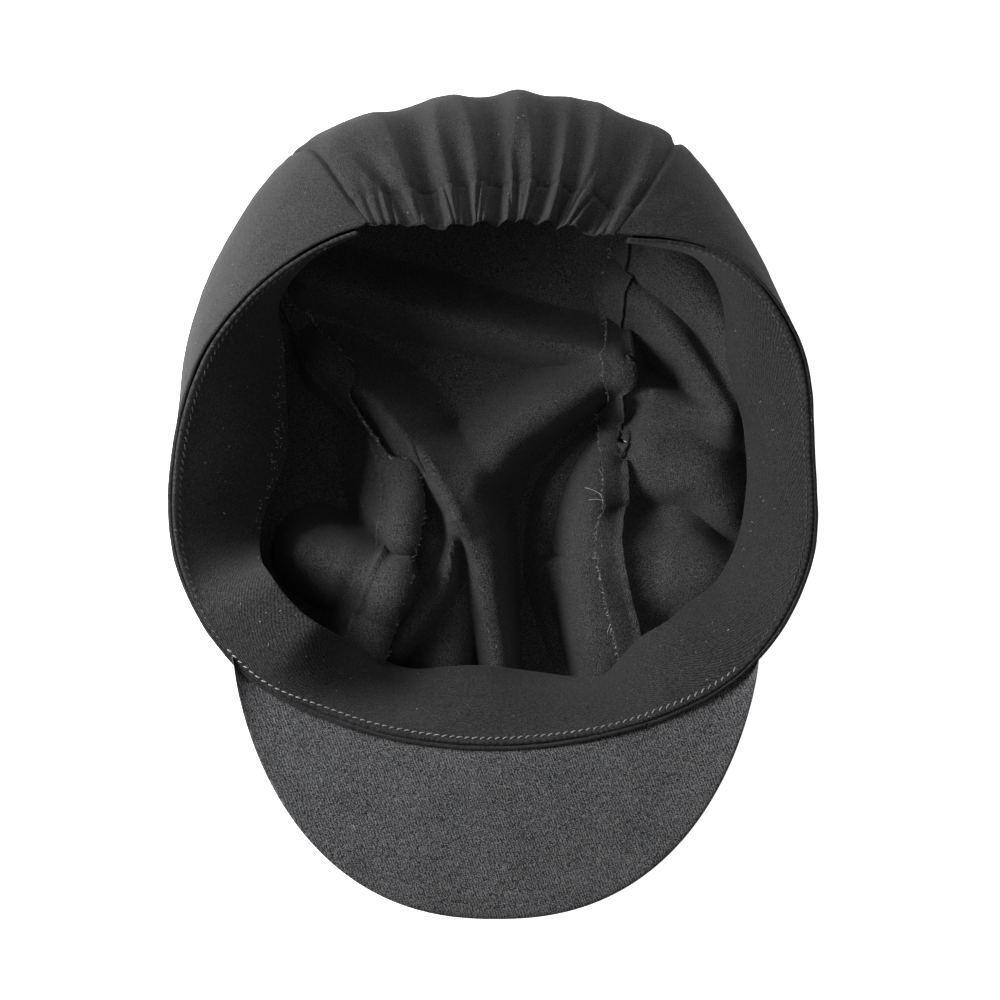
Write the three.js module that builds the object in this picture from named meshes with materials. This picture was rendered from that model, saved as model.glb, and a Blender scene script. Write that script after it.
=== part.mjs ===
// A cotton cycling cap lying on its crown, with the opening up.
// Three crown panels, a sweatband facing, a gathered elastic casing, a short peak and two seam allowances.
// Millimetres. +Z is up, -Y is the front with the peak, and the origin is where the middle of the crown rests.
import * as THREE from "three";

// Driving dimensions
const CLOTH = 1.2;
const GAP = 0.45;
const BAND_BOW = 2;
const BAND_FROM = 122;
const BAND_TO = 417;
const CASING_THICKNESS = 2.2;
const CASING_PLEATS = 22;
const CASING_PLEAT_DEPTH = 1.1;
const PEAK_THICKNESS = 2.6;
const PEAK_HALF_WIDTH = 81.7;
const PEAK_SHIFT = 0.9;
const PEAK_WIDEST_Y = -26;
const PEAK_REACH_Y = -140.3;
const PEAK_ARCH = 2.5;
const PEAK_RISE = 4;
const PEAK_ROUNDNESS = 2.3;
const PEAK_END_ANGLE = 38.2;
const PEAK_END_TURN = 15.4;
const ALLOWANCE_COLUMNS = 2;
const ALLOWANCE_THICKNESS = 1;
const ALLOWANCE_GAP = 0.5;
const ALLOWANCE_LIFT = 2.4;
const ALLOWANCE_MARGIN = 0.3;
const ALLOWANCE_SMOOTHING = 0.05;
const ALLOWANCE_UP = 1.5;

// The crown is mapped to a unit disk: its middle is the centre and its rim is the circle.
// These radii of the disk are where the resting foot ends and where the wall is widest.
const FOOT_AT = 0.33;
const WALL_AT = 0.7;
const CASING_AT = 0.945;
const DISK_MIDDLE_MM = 165;
const DISK_RIM_MM = 95;

// Sections round the cap, every 20 degrees from +X (the right side) through +Y (the back).
// rim and wall are radii, and foot is the radius of the resting face.
const SECTION_STEP = 20;
const SECTIONS = [
  { angle: 0, rim: 96.6, rimHeight: 84, wall: 95, wallHeight: 46, foot: 55 },
  { angle: 20, rim: 97, rimHeight: 87, wall: 98, wallHeight: 47, foot: 56 },
  { angle: 40, rim: 90.8, rimHeight: 90, wall: 104.2, wallHeight: 49, foot: 58 },
  { angle: 60, rim: 74.3, rimHeight: 92.5, wall: 112.8, wallHeight: 51, foot: 60 },
  { angle: 80, rim: 70.6, rimHeight: 94, wall: 113.3, wallHeight: 51, foot: 62 },
  { angle: 100, rim: 69, rimHeight: 94, wall: 112.4, wallHeight: 51, foot: 62 },
  { angle: 120, rim: 76.8, rimHeight: 92.5, wall: 112.6, wallHeight: 51, foot: 60 },
  { angle: 140, rim: 83.8, rimHeight: 90, wall: 106.6, wallHeight: 49, foot: 58 },
  { angle: 160, rim: 91, rimHeight: 87, wall: 101.2, wallHeight: 47, foot: 56 },
  { angle: 180, rim: 95.8, rimHeight: 84, wall: 95, wallHeight: 46, foot: 55 },
  { angle: 200, rim: 101.3, rimHeight: 81, wall: 96, wallHeight: 44, foot: 53 },
  { angle: 220, rim: 101.2, rimHeight: 78, wall: 94, wallHeight: 42, foot: 50 },
  { angle: 240, rim: 95, rimHeight: 75.5, wall: 91, wallHeight: 40, foot: 48 },
  { angle: 260, rim: 91, rimHeight: 74, wall: 88, wallHeight: 39, foot: 47 },
  { angle: 280, rim: 91, rimHeight: 74, wall: 88, wallHeight: 39, foot: 47 },
  { angle: 300, rim: 95.5, rimHeight: 75.5, wall: 91, wallHeight: 40, foot: 48 },
  { angle: 320, rim: 102, rimHeight: 78, wall: 94, wallHeight: 42, foot: 50 },
  { angle: 340, rim: 101.6, rimHeight: 81, wall: 96, wallHeight: 44, foot: 53 },
];

// How far the facing leans in and how far it drops, from the left end of the casing round the front.
const BAND_FALL = [
  { angle: 122, reach: -8, drop: 36 },
  { angle: 134, reach: -6, drop: 36 },
  { angle: 146, reach: 2, drop: 38 },
  { angle: 152, reach: 12.3, drop: 38 },
  { angle: 161, reach: 20.5, drop: 38 },
  { angle: 171, reach: 26.1, drop: 38 },
  { angle: 181, reach: 28.9, drop: 38 },
  { angle: 188, reach: 27, drop: 38 },
  { angle: 196, reach: 22.6, drop: 37 },
  { angle: 200, reach: 21.2, drop: 32 },
  { angle: 205, reach: 21, drop: 16 },
  { angle: 210, reach: 23.9, drop: 5 },
  { angle: 226, reach: 24.4, drop: 3 },
  { angle: 231, reach: 22.9, drop: 10 },
  { angle: 238, reach: 19.7, drop: 30 },
  { angle: 244, reach: 16.9, drop: 36 },
  { angle: 250, reach: 16.9, drop: 35 },
  { angle: 258, reach: 20.1, drop: 28 },
  { angle: 264, reach: 21.3, drop: 26 },
  { angle: 270, reach: 21.2, drop: 27 },
  { angle: 282, reach: 17.8, drop: 35 },
  { angle: 296, reach: 12.6, drop: 37 },
  { angle: 303, reach: 18.5, drop: 30 },
  { angle: 309, reach: 22.9, drop: 22 },
  { angle: 316, reach: 23.6, drop: 20 },
  { angle: 322, reach: 23.4, drop: 26 },
  { angle: 330, reach: 18.7, drop: 37 },
  { angle: 343, reach: 17.2, drop: 36 },
  { angle: 356, reach: 14.5, drop: 37 },
  { angle: 366, reach: 15.1, drop: 37 },
  { angle: 374, reach: 17.4, drop: 36 },
  { angle: 380, reach: 17, drop: 36 },
  { angle: 388, reach: 10.3, drop: 38 },
  { angle: 395, reach: 4, drop: 38 },
  { angle: 405, reach: -4, drop: 38 },
  { angle: 417, reach: -8, drop: 38 },
];

// Half widths of the centre panel in the disk, from the front rim (along -1) to the back rim (along 1).
const SEAM_STEP = 0.25;
const SEAMS = [
  { along: -1, left: 0.447, right: 0.485 },
  { along: -0.75, left: 0.385, right: 0.405 },
  { along: -0.5, left: 0.305, right: 0.31 },
  { along: -0.25, left: 0.238, right: 0.268 },
  { along: 0, left: 0.222, right: 0.262 },
  { along: 0.25, left: 0.37, right: 0.25 },
  { along: 0.5, left: 0.445, right: 0.265 },
  { along: 0.75, left: 0.405, right: 0.385 },
  { along: 1, left: 0.483, right: 0.5 },
];

// Folds that push the soft top of the crown up into the cap. Each runs along its points, seen from above.
// rise is the share of the height at the start, middle and end of the way.
// left and right are the two sides of the way: half widths at its start, middle and end, then how broad the
// top is (low where it is pointed) and how soft the foot is (low where the fold rises abruptly).
const FOLDS = [
  {
    name: "floor_lift", height: 7, rise: [0.3, 1, 1],
    left: [56, 60, 56, 2.4, 1.5], right: [56, 60, 56, 2.4, 1.5],
    way: [[0, 24], [0, 0], [2, -26]],
  },
  {
    name: "back_line", height: 23, rise: [0.5, 0.9, 1],
    left: [16, 18, 14, 1.5, 1.5], right: [9, 9, 9, 1.5, 1.5],
    way: [[-60, 57], [-32, 49], [-4, 41], [40, 31]],
  },
  {
    name: "upper_ridge", height: 34, rise: [0.6, 0.9, 1],
    left: [16, 24, 20, 1.3, 1.7], right: [9, 10, 10, 1.4, 1.3],
    way: [[-55, 29], [-38, 16.7], [-26.8, 3], [-15.2, -13.3], [-10, -24]],
  },
  {
    name: "stem", height: 36, rise: [0.8, 1, 0.9],
    left: [20, 15, 8, 3.2, 1.2], right: [8, 12, 9, 1.3, 1.3],
    way: [[-17, -10], [-12, -18], [-6.5, -29.4], [-2.5, -50.4], [1, -70]],
  },
  {
    name: "right_arm", height: 30, rise: [1, 0.93, 0.9],
    left: [8, 10, 12, 3, 1.1], right: [13, 17, 22, 1.4, 1.6],
    way: [[41, 28], [34.4, 25.5], [19.3, 16.2], [4.8, 6.5], [-6.5, -8]],
  },
  {
    name: "right_mound", height: 31, rise: [0.6, 1, 0.85],
    left: [28, 32, 34, 2.5, 1.4], right: [11, 12, 12, 2.2, 1.1],
    way: [[40, -2], [35, -13], [31.5, -31], [32.5, -50], [38, -72]],
  },
  {
    name: "right_field", height: 28, rise: [0.9, 1, 0.9],
    left: [24, 26, 26, 2.5, 1.6], right: [24, 26, 26, 2.5, 1.6],
    way: [[58, 2], [64, -8], [68, -16]],
  },
  {
    name: "right_swell", height: 30, rise: [0.8, 1, 1],
    left: [18, 18, 18, 2, 1.4], right: [30, 30, 28, 2.4, 1.4],
    way: [[38, -34], [58, -34], [74, -40]],
  },
  {
    name: "right_wall", height: 33, rise: [0.8, 1, 1],
    left: [20, 20, 20, 2.5, 1.5], right: [18, 18, 18, 2, 1.5],
    way: [[58, 60], [76, 40], [86, 14]],
  },
  {
    name: "right_diagonal", height: 33, rise: [0.5, 0.9, 1],
    left: [12, 14, 14, 1.5, 1.5], right: [12, 14, 14, 1.5, 1.5],
    way: [[44.8, 54], [54, 44.4], [65.7, 28.3], [75, 12]],
  },
  {
    name: "right_cross", height: 30, rise: [0.9, 1, 1],
    left: [12, 12, 10, 1.4, 1.6], right: [14, 14, 14, 1.5, 1.5],
    way: [[42, 24], [50, 19.5], [63, 14.5], [76, 9]],
  },
  {
    name: "left_billow", height: 42, rise: [0.4, 1, 1],
    left: [7, 7, 7, 2.6, 1.2], right: [20, 24, 22, 1.8, 1.5],
    way: [[-33.5, 8], [-29.5, -9], [-29.5, -23], [-32, -41], [-40, -62]],
  },
  {
    name: "left_swell", height: 46, rise: [0.9, 1, 0.8],
    left: [16, 16, 9, 2, 1.4], right: [16, 18, 12, 2, 1.4],
    way: [[-57, -32], [-47, -36], [-37, -41]],
  },
  {
    name: "fan", height: 28, rise: [0.5, 1, 0.8],
    left: [14, 14, 14, 2.4, 1.6], right: [14, 14, 14, 2.4, 1.6],
    way: [[-25, -4], [-20, -28], [-26, -56]],
  },
  {
    name: "front_apron", height: 27, rise: [0.9, 1, 1],
    left: [10, 10, 10, 2.5, 1.3], right: [12, 14, 16, 2.5, 1.3],
    way: [[-15, -32], [-12, -48], [-14, -68]],
  },
  {
    name: "front_fold", height: 34, rise: [0.9, 1, 0.85],
    left: [7, 8, 8, 1.4, 1.4], right: [8, 9, 9, 1.4, 1.4],
    way: [[-12.3, -21], [-15.2, -41], [-22, -52], [-32, -63]],
  },
];

// Creases that are drawn down into those folds, in the same terms.
const CREASES = [
  {
    name: "left_crease", height: 10, rise: [0.4, 1, 1],
    left: [6, 6, 5, 1.5, 1.6], right: [8, 8, 6, 1.5, 1.6],
    way: [[-54, -13], [-46, -19], [-39, -26], [-29, -33]],
  },
  {
    name: "crescent", height: 9, rise: [0.5, 1, 1],
    left: [5, 7, 9, 1.6, 1.3], right: [5, 7, 9, 1.6, 1.3],
    way: [[38, 18], [24.5, 6], [13, -8], [8.5, -26], [8, -44], [12.5, -70]],
  },
  {
    name: "right_crease", height: 8, rise: [0.4, 1, 1],
    left: [6, 6, 7, 1.5, 1.6], right: [7, 7, 7, 1.5, 1.6],
    way: [[40, -18], [54, -16], [65, -18.5], [79, -31]],
  },
  {
    name: "seam_pocket", height: 6, rise: [1, 1, 0.4],
    left: [5, 5, 5, 1.4, 1.4], right: [6, 6, 6, 1.4, 1.4],
    way: [[47, 16], [46, 8], [43, -2]],
  },
];
const FOLD_MERGE = 4;
const FOLD_FADE_FROM = 2;
const FOLD_FADE_TO = 32;
const REST_FLAT = 6;
const REST_BLEND = 15;
const FOLD_SOFTENING = 3.5;
const SOFTENING_PLACES = 8;

// Dents in the standing wall. at is the disk radius, drop tilts the dent along the wall.
const DENTS = [
  { angle: 8, at: 0.8, wide: 16, tall: 0.12, deep: 3, drop: 0.004 },
  { angle: 338, at: 0.68, wide: 14, tall: 0.1, deep: 3.5, drop: -0.004 },
  { angle: 318, at: 0.82, wide: 11, tall: 0.11, deep: 2.5, drop: 0.003 },
  { angle: 292, at: 0.7, wide: 12, tall: 0.1, deep: 3, drop: -0.003 },
  { angle: 262, at: 0.74, wide: 13, tall: 0.11, deep: 3, drop: 0.004 },
  { angle: 236, at: 0.8, wide: 11, tall: 0.1, deep: 2.5, drop: -0.004 },
  { angle: 208, at: 0.7, wide: 15, tall: 0.12, deep: 3.5, drop: 0.004 },
  { angle: 182, at: 0.82, wide: 13, tall: 0.1, deep: 3, drop: -0.003 },
  { angle: 150, at: 0.62, wide: 14, tall: 0.1, deep: 3.5, drop: 0.003 },
  { angle: 98, at: 0.6, wide: 16, tall: 0.1, deep: 3, drop: 0.002 },
  { angle: 40, at: 0.6, wide: 15, tall: 0.1, deep: 3.5, drop: -0.003 },
];

// Gathers that run from the elastic casing down the back. far and edge are places across the panel, -1 to 1.
const GATHERS = [
  { far: -0.84, edge: -0.72, reach: 0.16, deep: 2.6, wide: 0.08 },
  { far: -0.45, edge: -0.48, reach: 0.34, deep: 5, wide: 0.13 },
  { far: -0.27, edge: -0.22, reach: 0.16, deep: 2.8, wide: 0.09 },
  { far: -0.08, edge: 0.03, reach: 0.36, deep: 5.2, wide: 0.13 },
  { far: 0.13, edge: 0.2, reach: 0.14, deep: 2.4, wide: 0.08 },
  { far: 0.25, edge: 0.37, reach: 0.32, deep: 4.6, wide: 0.11 },
  { far: 0.43, edge: 0.56, reach: 0.27, deep: 3.8, wide: 0.09 },
  { far: 0.67, edge: 0.81, reach: 0.32, deep: 4.6, wide: 0.12 },
];

// Colours and roughness of the cloth
const CLOTH_COLOUR = 0x2b2b2c;
const PEAK_COLOUR = 0x343537;
const CLOTH_ROUGHNESS = 0.9;

// Grids of the pieces. The panels share their rows, so that they keep their gap along the seams.
const PANEL_ROW_COUNT = 38;
const CENTRE_COLUMNS = 24;
const SIDE_COLUMNS = 14;
const SIDE_COLUMN_SPREAD = 1.4;
const CASING_ROWS = 3;
const CASING_SPAN = 0.985;
const BAND_COLUMNS = 70;
const BAND_ROWS = 3;
const PEAK_COLUMNS = 26;
const PEAK_ROWS = 5;
const ALLOWANCE_FIRST_ROW = 3;
const ALLOWANCE_LAST_ROW = 35;
const SAME_POINT = 1e-4;

const { lerp, clamp, degToRad, radToDeg, smoothstep } = THREE.MathUtils;

const evenPlaces = (from, to, count) =>
  Array.from({ length: count + 1 }, (_, i) => lerp(from, to, i / count));
const PANEL_ROWS = evenPlaces(-1, CASING_AT, PANEL_ROW_COUNT);

// Smooth value of one column of a table with even steps, at row number x.
function column(table, key, x, periodic) {
  const n = table.length;
  const row = Math.floor(x);
  const t = x - row;
  const at = (i) => table[periodic ? ((i % n) + n) % n : clamp(i, 0, n - 1)][key];
  const [a, b, c, d] = [at(row - 1), at(row), at(row + 1), at(row + 2)];
  return b + 0.5 * t * (c - a + t * (2 * a - 5 * b + 4 * c - d + t * (3 * (b - c) + d - a)));
}

function section(angle) {
  const x = angle / SECTION_STEP;
  const made = {};
  for (const key of ["rim", "rimHeight", "wall", "wallHeight", "foot"])
    made[key] = column(SECTIONS, key, x, true);
  return made;
}

// Places of the curves' handles, as shares of the way between their ends.
const FOOT_HANDLES = { along: 0.6, up: 0.45 };
const WALL_HANDLES = { lean: 0.5, low: 0.45, high: 0.85 };

const bezier = (a, b, c, d, t) =>
  a * (1 - t) ** 3 + 3 * b * t * (1 - t) ** 2 + 3 * c * t * t * (1 - t) + d * t ** 3;

// Radius and height of a section at a radius of the disk: foot, rounded corner, then the wall up to the rim.
function profile(s, radius) {
  if (radius < FOOT_AT) return [(s.foot * radius) / FOOT_AT, 0];
  if (radius < WALL_AT) {
    const t = (radius - FOOT_AT) / (WALL_AT - FOOT_AT);
    return [
      bezier(s.foot, lerp(s.foot, s.wall, FOOT_HANDLES.along), s.wall, s.wall, t),
      bezier(0, 0, FOOT_HANDLES.up * s.wallHeight, s.wallHeight, t),
    ];
  }
  const t = (radius - WALL_AT) / (1 - WALL_AT);
  const low = lerp(s.wallHeight, s.rimHeight, WALL_HANDLES.low);
  const high = lerp(s.wallHeight, s.rimHeight, WALL_HANDLES.high);
  return [
    bezier(s.wall, s.wall, lerp(s.rim, s.wall, WALL_HANDLES.lean), s.rim, t),
    bezier(s.wallHeight, low, high, s.rimHeight, t),
  ];
}

// Distance from a point to a fold's way, signed by side, and how far along the way it is.
function toWay(way, x, y) {
  let best = { distance: Infinity, side: 1, along: 0 };
  for (let i = 0; i + 1 < way.length; i++) {
    const [ax, ay] = way[i];
    const [dx, dy] = [way[i + 1][0] - ax, way[i + 1][1] - ay];
    const t = clamp(((x - ax) * dx + (y - ay) * dy) / (dx * dx + dy * dy), 0, 1);
    const [ex, ey] = [x - ax - t * dx, y - ay - t * dy];
    const distance = Math.hypot(ex, ey);
    if (distance < best.distance)
      best = { distance, side: Math.sign(dx * ey - dy * ex) || 1, along: (i + t) / (way.length - 1) };
  }
  return best;
}

// The ways as smooth curves with more points than their tables.
const WAY_POINTS = 16;
const withSmoothWays = (table) =>
  table.map((fold) => ({
    ...fold,
    way: new THREE.SplineCurve(fold.way.map(([x, y]) => new THREE.Vector2(x, y)))
      .getPoints(WAY_POINTS)
      .map((v) => [v.x, v.y]),
  }));
const SMOOTH_FOLDS = withSmoothWays(FOLDS);
const SMOOTH_CREASES = withSmoothWays(CREASES);

const threePart = (start, middle, end, along) =>
  along < 0.5 ? lerp(start, middle, 2 * along) : lerp(middle, end, 2 * along - 1);

// Height of one fold, or depth of one crease, at a place.
function oneFold(fold, x, y) {
  const { distance, side, along } = toWay(fold.way, x, y);
  const [start, middle, end, crest, foot] = side > 0 ? fold.left : fold.right;
  const share = distance / threePart(start, middle, end, along);
  return share < 1 ? fold.height * threePart(...fold.rise, along) * (1 - share ** crest) ** foot : 0;
}

// The folds merge where they meet, and the creases are taken from them.
function mergedFolds(x, y) {
  let folds = 0;
  for (const fold of SMOOTH_FOLDS) folds += oneFold(fold, x, y) ** FOLD_MERGE;
  let creases = 0;
  for (const crease of SMOOTH_CREASES) creases += oneFold(crease, x, y);
  return Math.max(folds ** (1 / FOLD_MERGE) - creases, 0);
}

// The folds evened out over the places round each point, as the panels' grids are coarser than the creases.
// The resting middle stays flat.
function foldHeight(x, y) {
  let sum = mergedFolds(x, y);
  for (let i = 0; i < SOFTENING_PLACES; i++) {
    const turn = (2 * Math.PI * i) / SOFTENING_PLACES;
    sum += mergedFolds(x + FOLD_SOFTENING * Math.cos(turn), y + FOLD_SOFTENING * Math.sin(turn));
  }
  return (sum / (SOFTENING_PLACES + 1)) * smoothstep(Math.hypot(x, y), REST_FLAT, REST_BLEND);
}

function dentDepth(angle, radius) {
  let sum = 0;
  for (const dent of DENTS) {
    const across = ((angle - dent.angle + 540) % 360) - 180;
    const up = radius - dent.at - dent.drop * across;
    const share = (across / dent.wide) ** 2 + (up / dent.tall) ** 2;
    if (share < 1) sum += dent.deep * (1 - share) ** 2;
  }
  return sum;
}

const seamHalfWidth = (along, side) =>
  column(SEAMS, side, (clamp(along, -1, 1) + 1) / SEAM_STEP, false);

// A length across the seams, in units of the disk. The disk is drawn together towards the rim.
const acrossDisk = (mm, along) => mm / lerp(DISK_MIDDLE_MM, DISK_RIM_MM, along * along);

// How far the centre panel's columns run in the disk, so that they end on the circle.
function columnLength(across, along) {
  const side = across < 0 ? "left" : "right";
  const front = Math.sqrt(1 - (across * seamHalfWidth(-1, side)) ** 2);
  const back = Math.sqrt(1 - (across * seamHalfWidth(1, side)) ** 2);
  return lerp(front, back, (along + 1) / 2);
}

// Centre panel: from places across and along the panel, each -1 to 1, to the disk, short of the seams by a margin.
function centreToDisk(across, along, margin = 0) {
  const side = across < 0 ? "left" : "right";
  const half = seamHalfWidth(along, side) - acrossDisk(margin, along);
  return [across * half, along * columnLength(across, along)];
}

function diskToCentre(p, q) {
  const side = p < 0 ? "left" : "right";
  let along = q;
  let across = 0;
  for (let pass = 0; pass < 2; pass++) {
    across = p / seamHalfWidth(along, side);
    along = q / columnLength(clamp(across, -1, 1), along);
  }
  return [across, along];
}

// Depth of the gathers at a place of the disk. They end at the seams and fade out down the back.
const GATHER_BACK = 0.3;
const GATHER_SPREAD = 1.5;
const GATHER_FULL_AT = 0.8;
const GATHER_FADE_AT = 0.9;
function gatherDepth(p, q) {
  if (q < GATHER_BACK) return 0;
  const [across, along] = diskToCentre(p, q);
  if (Math.abs(across) >= 1) return 0;
  let sum = 0;
  for (const g of GATHERS) {
    const t = clamp(1 - (CASING_AT - along) / g.reach, 0, 1);
    const share = Math.abs(across - lerp(g.far, g.edge, t)) / (g.wide * lerp(GATHER_SPREAD, 1, t));
    if (share < 1) sum += g.deep * smoothstep(t, 0, GATHER_FULL_AT) * (1 - share * share) ** 2;
  }
  return sum * (1 - smoothstep(Math.abs(across), GATHER_FADE_AT, 1));
}

// Outer face of the crown at a place (p, q) of the disk.
const DISK_STEP = 0.01;
function crownFace(p, q) {
  const radius = Math.hypot(p, q);
  const angle = radToDeg(Math.atan2(q, p));
  const s = section(angle);
  const [r0, z0] = profile(s, radius);
  const [r1, z1] = profile(s, radius + DISK_STEP);
  const length = Math.hypot(r1 - r0, z1 - z0);
  const gather = gatherDepth(p, q);
  const r = r0 - dentDepth(angle, radius) - (gather * (z1 - z0)) / length;
  const [x, y] = [r * Math.cos(degToRad(angle)), r * Math.sin(degToRad(angle))];
  const lift = foldHeight(x, y) * (1 - smoothstep(z0, FOLD_FADE_FROM, FOLD_FADE_TO));
  return new THREE.Vector3(x, y, z0 + lift + (gather * (r1 - r0)) / length);
}

// The direction from the outer face into the cap.
function crownInward(p, q) {
  const dp = crownFace(p + DISK_STEP, q).sub(crownFace(p - DISK_STEP, q));
  const dq = crownFace(p, q + DISK_STEP).sub(crownFace(p, q - DISK_STEP));
  return dp.cross(dq).normalize();
}

const crownPoint = (p, q, inset) => crownFace(p, q).addScaledVector(crownInward(p, q), inset);

// A closed sheet from two faces given over the same grid: under(s, t) and over(s, t), with s from 0 to 1
// and t from a list of places. Each square is split along its shorter diagonal.
// Triangles whose corners fall together, at the tips of a panel, are left out.
function sheet(columns, places, under, over) {
  const points = [];
  const triangles = [];
  const rows = places.length - 1;
  for (const face of [under, over])
    for (const t of places)
      for (let i = 0; i <= columns; i++) points.push(face(i / columns, t));
  const layer = (columns + 1) * (rows + 1);
  const id = (i, j, k) => k * layer + j * (columns + 1) + i;
  const quad = (a, b, c, d) => {
    if (points[a].distanceTo(points[c]) <= points[b].distanceTo(points[d]))
      triangles.push([a, b, c], [a, c, d]);
    else triangles.push([b, c, d], [b, d, a]);
  };
  for (let j = 0; j < rows; j++)
    for (let i = 0; i < columns; i++) {
      quad(id(i, j, 0), id(i, j + 1, 0), id(i + 1, j + 1, 0), id(i + 1, j, 0));
      quad(id(i, j, 1), id(i + 1, j, 1), id(i + 1, j + 1, 1), id(i, j + 1, 1));
    }
  for (let i = 0; i < columns; i++) {
    quad(id(i, 0, 0), id(i + 1, 0, 0), id(i + 1, 0, 1), id(i, 0, 1));
    quad(id(i, rows, 0), id(i, rows, 1), id(i + 1, rows, 1), id(i + 1, rows, 0));
  }
  for (let j = 0; j < rows; j++) {
    quad(id(0, j, 0), id(0, j, 1), id(0, j + 1, 1), id(0, j + 1, 0));
    quad(id(columns, j, 0), id(columns, j + 1, 0), id(columns, j + 1, 1), id(columns, j, 1));
  }
  const together = (a, b) => points[a].distanceTo(points[b]) < SAME_POINT;
  const kept = triangles.filter(([a, b, c]) => !together(a, b) && !together(b, c) && !together(a, c));
  const geometry = new THREE.BufferGeometry().setFromPoints(points);
  geometry.setIndex(kept.flat());
  geometry.computeVertexNormals();
  return geometry;
}

// The centre panel runs from the front rim over the top to the elastic casing.
function centrePanel() {
  const face = (inset) => (s, along) => {
    const [p, q] = centreToDisk(lerp(-1, 1, s), along, GAP / 2);
    return crownPoint(p, q, inset);
  };
  return sheet(CENTRE_COLUMNS, PANEL_ROWS, face(0), face(CLOTH));
}

// A side panel spans from its seam to the rim, and its ends close to a point.
// Its columns are closest together beside the seam, where the folds are.
function sidePanel(side) {
  const sign = side === "left" ? -1 : 1;
  const seam = (along) => centreToDisk(sign, along, -GAP / 2);
  const rimAngle = (along) => Math.atan2(seam(along)[1], Math.abs(seam(along)[0]));
  const face = (inset) => (s, along) => {
    const across = (side === "left" ? 1 - s : s) ** SIDE_COLUMN_SPREAD;
    const angle = lerp(rimAngle(-1), rimAngle(1), (along + 1) / 2);
    const [p, q] = seam(along);
    return crownPoint(
      lerp(p, sign * Math.cos(angle), across),
      lerp(q, Math.sin(angle), across),
      inset,
    );
  };
  return sheet(SIDE_COLUMNS, [...PANEL_ROWS, 1], face(0), face(CLOTH));
}

// The gathered casing that holds the elastic, at the back rim between the two seams.
function elasticCasing() {
  const first = CASING_AT + GAP / DISK_MIDDLE_MM;
  const steps = 2 * CASING_PLEATS;
  const place = (s, t) => centreToDisk(lerp(-CASING_SPAN, CASING_SPAN, s), lerp(first, 1, t));
  const inner = (s, t) => crownPoint(...place(s, t), CASING_THICKNESS);
  const outer = (s, t) => {
    const pleat = Math.round(s * steps) % 2 ? CASING_PLEAT_DEPTH : 0;
    return crownPoint(...place(s, t), pleat * (1 + t) / 2);
  };
  return sheet(steps, evenPlaces(0, 1, CASING_ROWS), outer, inner);
}

// Value of one column of the facing's table at an angle.
function bandFall(angle, key) {
  const i = clamp(BAND_FALL.findIndex((row) => row.angle > angle), 1, BAND_FALL.length - 1);
  const [a, b] = [BAND_FALL[i - 1], BAND_FALL[i]];
  return lerp(a[key], b[key], clamp((angle - a.angle) / (b.angle - a.angle), 0, 1));
}

// The facing hangs from the rim and leans into the cap, from one end of the casing round the front to the other.
function bandPoint(angle, down, inset) {
  const s = section(angle);
  const [reach, drop] = [bandFall(angle, "reach"), bandFall(angle, "drop")];
  const width = Math.hypot(reach, drop);
  const bow = BAND_BOW * Math.sin(Math.PI * down);
  const r = s.rim - CLOTH - GAP - reach * down - ((bow + inset) * drop) / width;
  const z = s.rimHeight - drop * down + ((bow + inset) * reach) / width;
  return new THREE.Vector3(r * Math.cos(degToRad(angle)), r * Math.sin(degToRad(angle)), z);
}

function band() {
  const face = (inset) => (s, t) => bandPoint(lerp(BAND_TO, BAND_FROM, s), 1 - t, inset);
  return sheet(BAND_COLUMNS, evenPlaces(0, 1, BAND_ROWS), face(0), face(CLOTH));
}

// The peak is a thin plate between the front rim and a rounded outline, arched across.
function peakPoint(s, t, above) {
  const angle = lerp(180 + PEAK_END_ANGLE, 360 - PEAK_END_ANGLE, s);
  const root = section(angle).rim + GAP;
  const [x0, y0] = [root * Math.cos(degToRad(angle)), root * Math.sin(degToRad(angle))];
  const turn = degToRad(lerp(180 - PEAK_END_TURN, PEAK_END_TURN, s));
  const power = 2 / PEAK_ROUNDNESS;
  const x1 = PEAK_HALF_WIDTH * Math.sign(Math.cos(turn)) * Math.abs(Math.cos(turn)) ** power;
  const y1 = lerp(PEAK_WIDEST_Y, PEAK_REACH_Y, Math.sin(turn) ** power);
  const [x, y] = [lerp(x0, x1 + PEAK_SHIFT, t), lerp(y0, y1, t)];
  const arch = PEAK_ARCH * (x / PEAK_HALF_WIDTH) ** 2;
  const z = section(270).rimHeight - PEAK_THICKNESS + arch + PEAK_RISE * t + above;
  return new THREE.Vector3(x, y, z);
}

function peak() {
  const face = (above) => (s, t) => peakPoint(s, 1 - t, above);
  return sheet(PEAK_COLUMNS, evenPlaces(0, 1, PEAK_ROWS), face(0), face(PEAK_THICKNESS));
}

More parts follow.
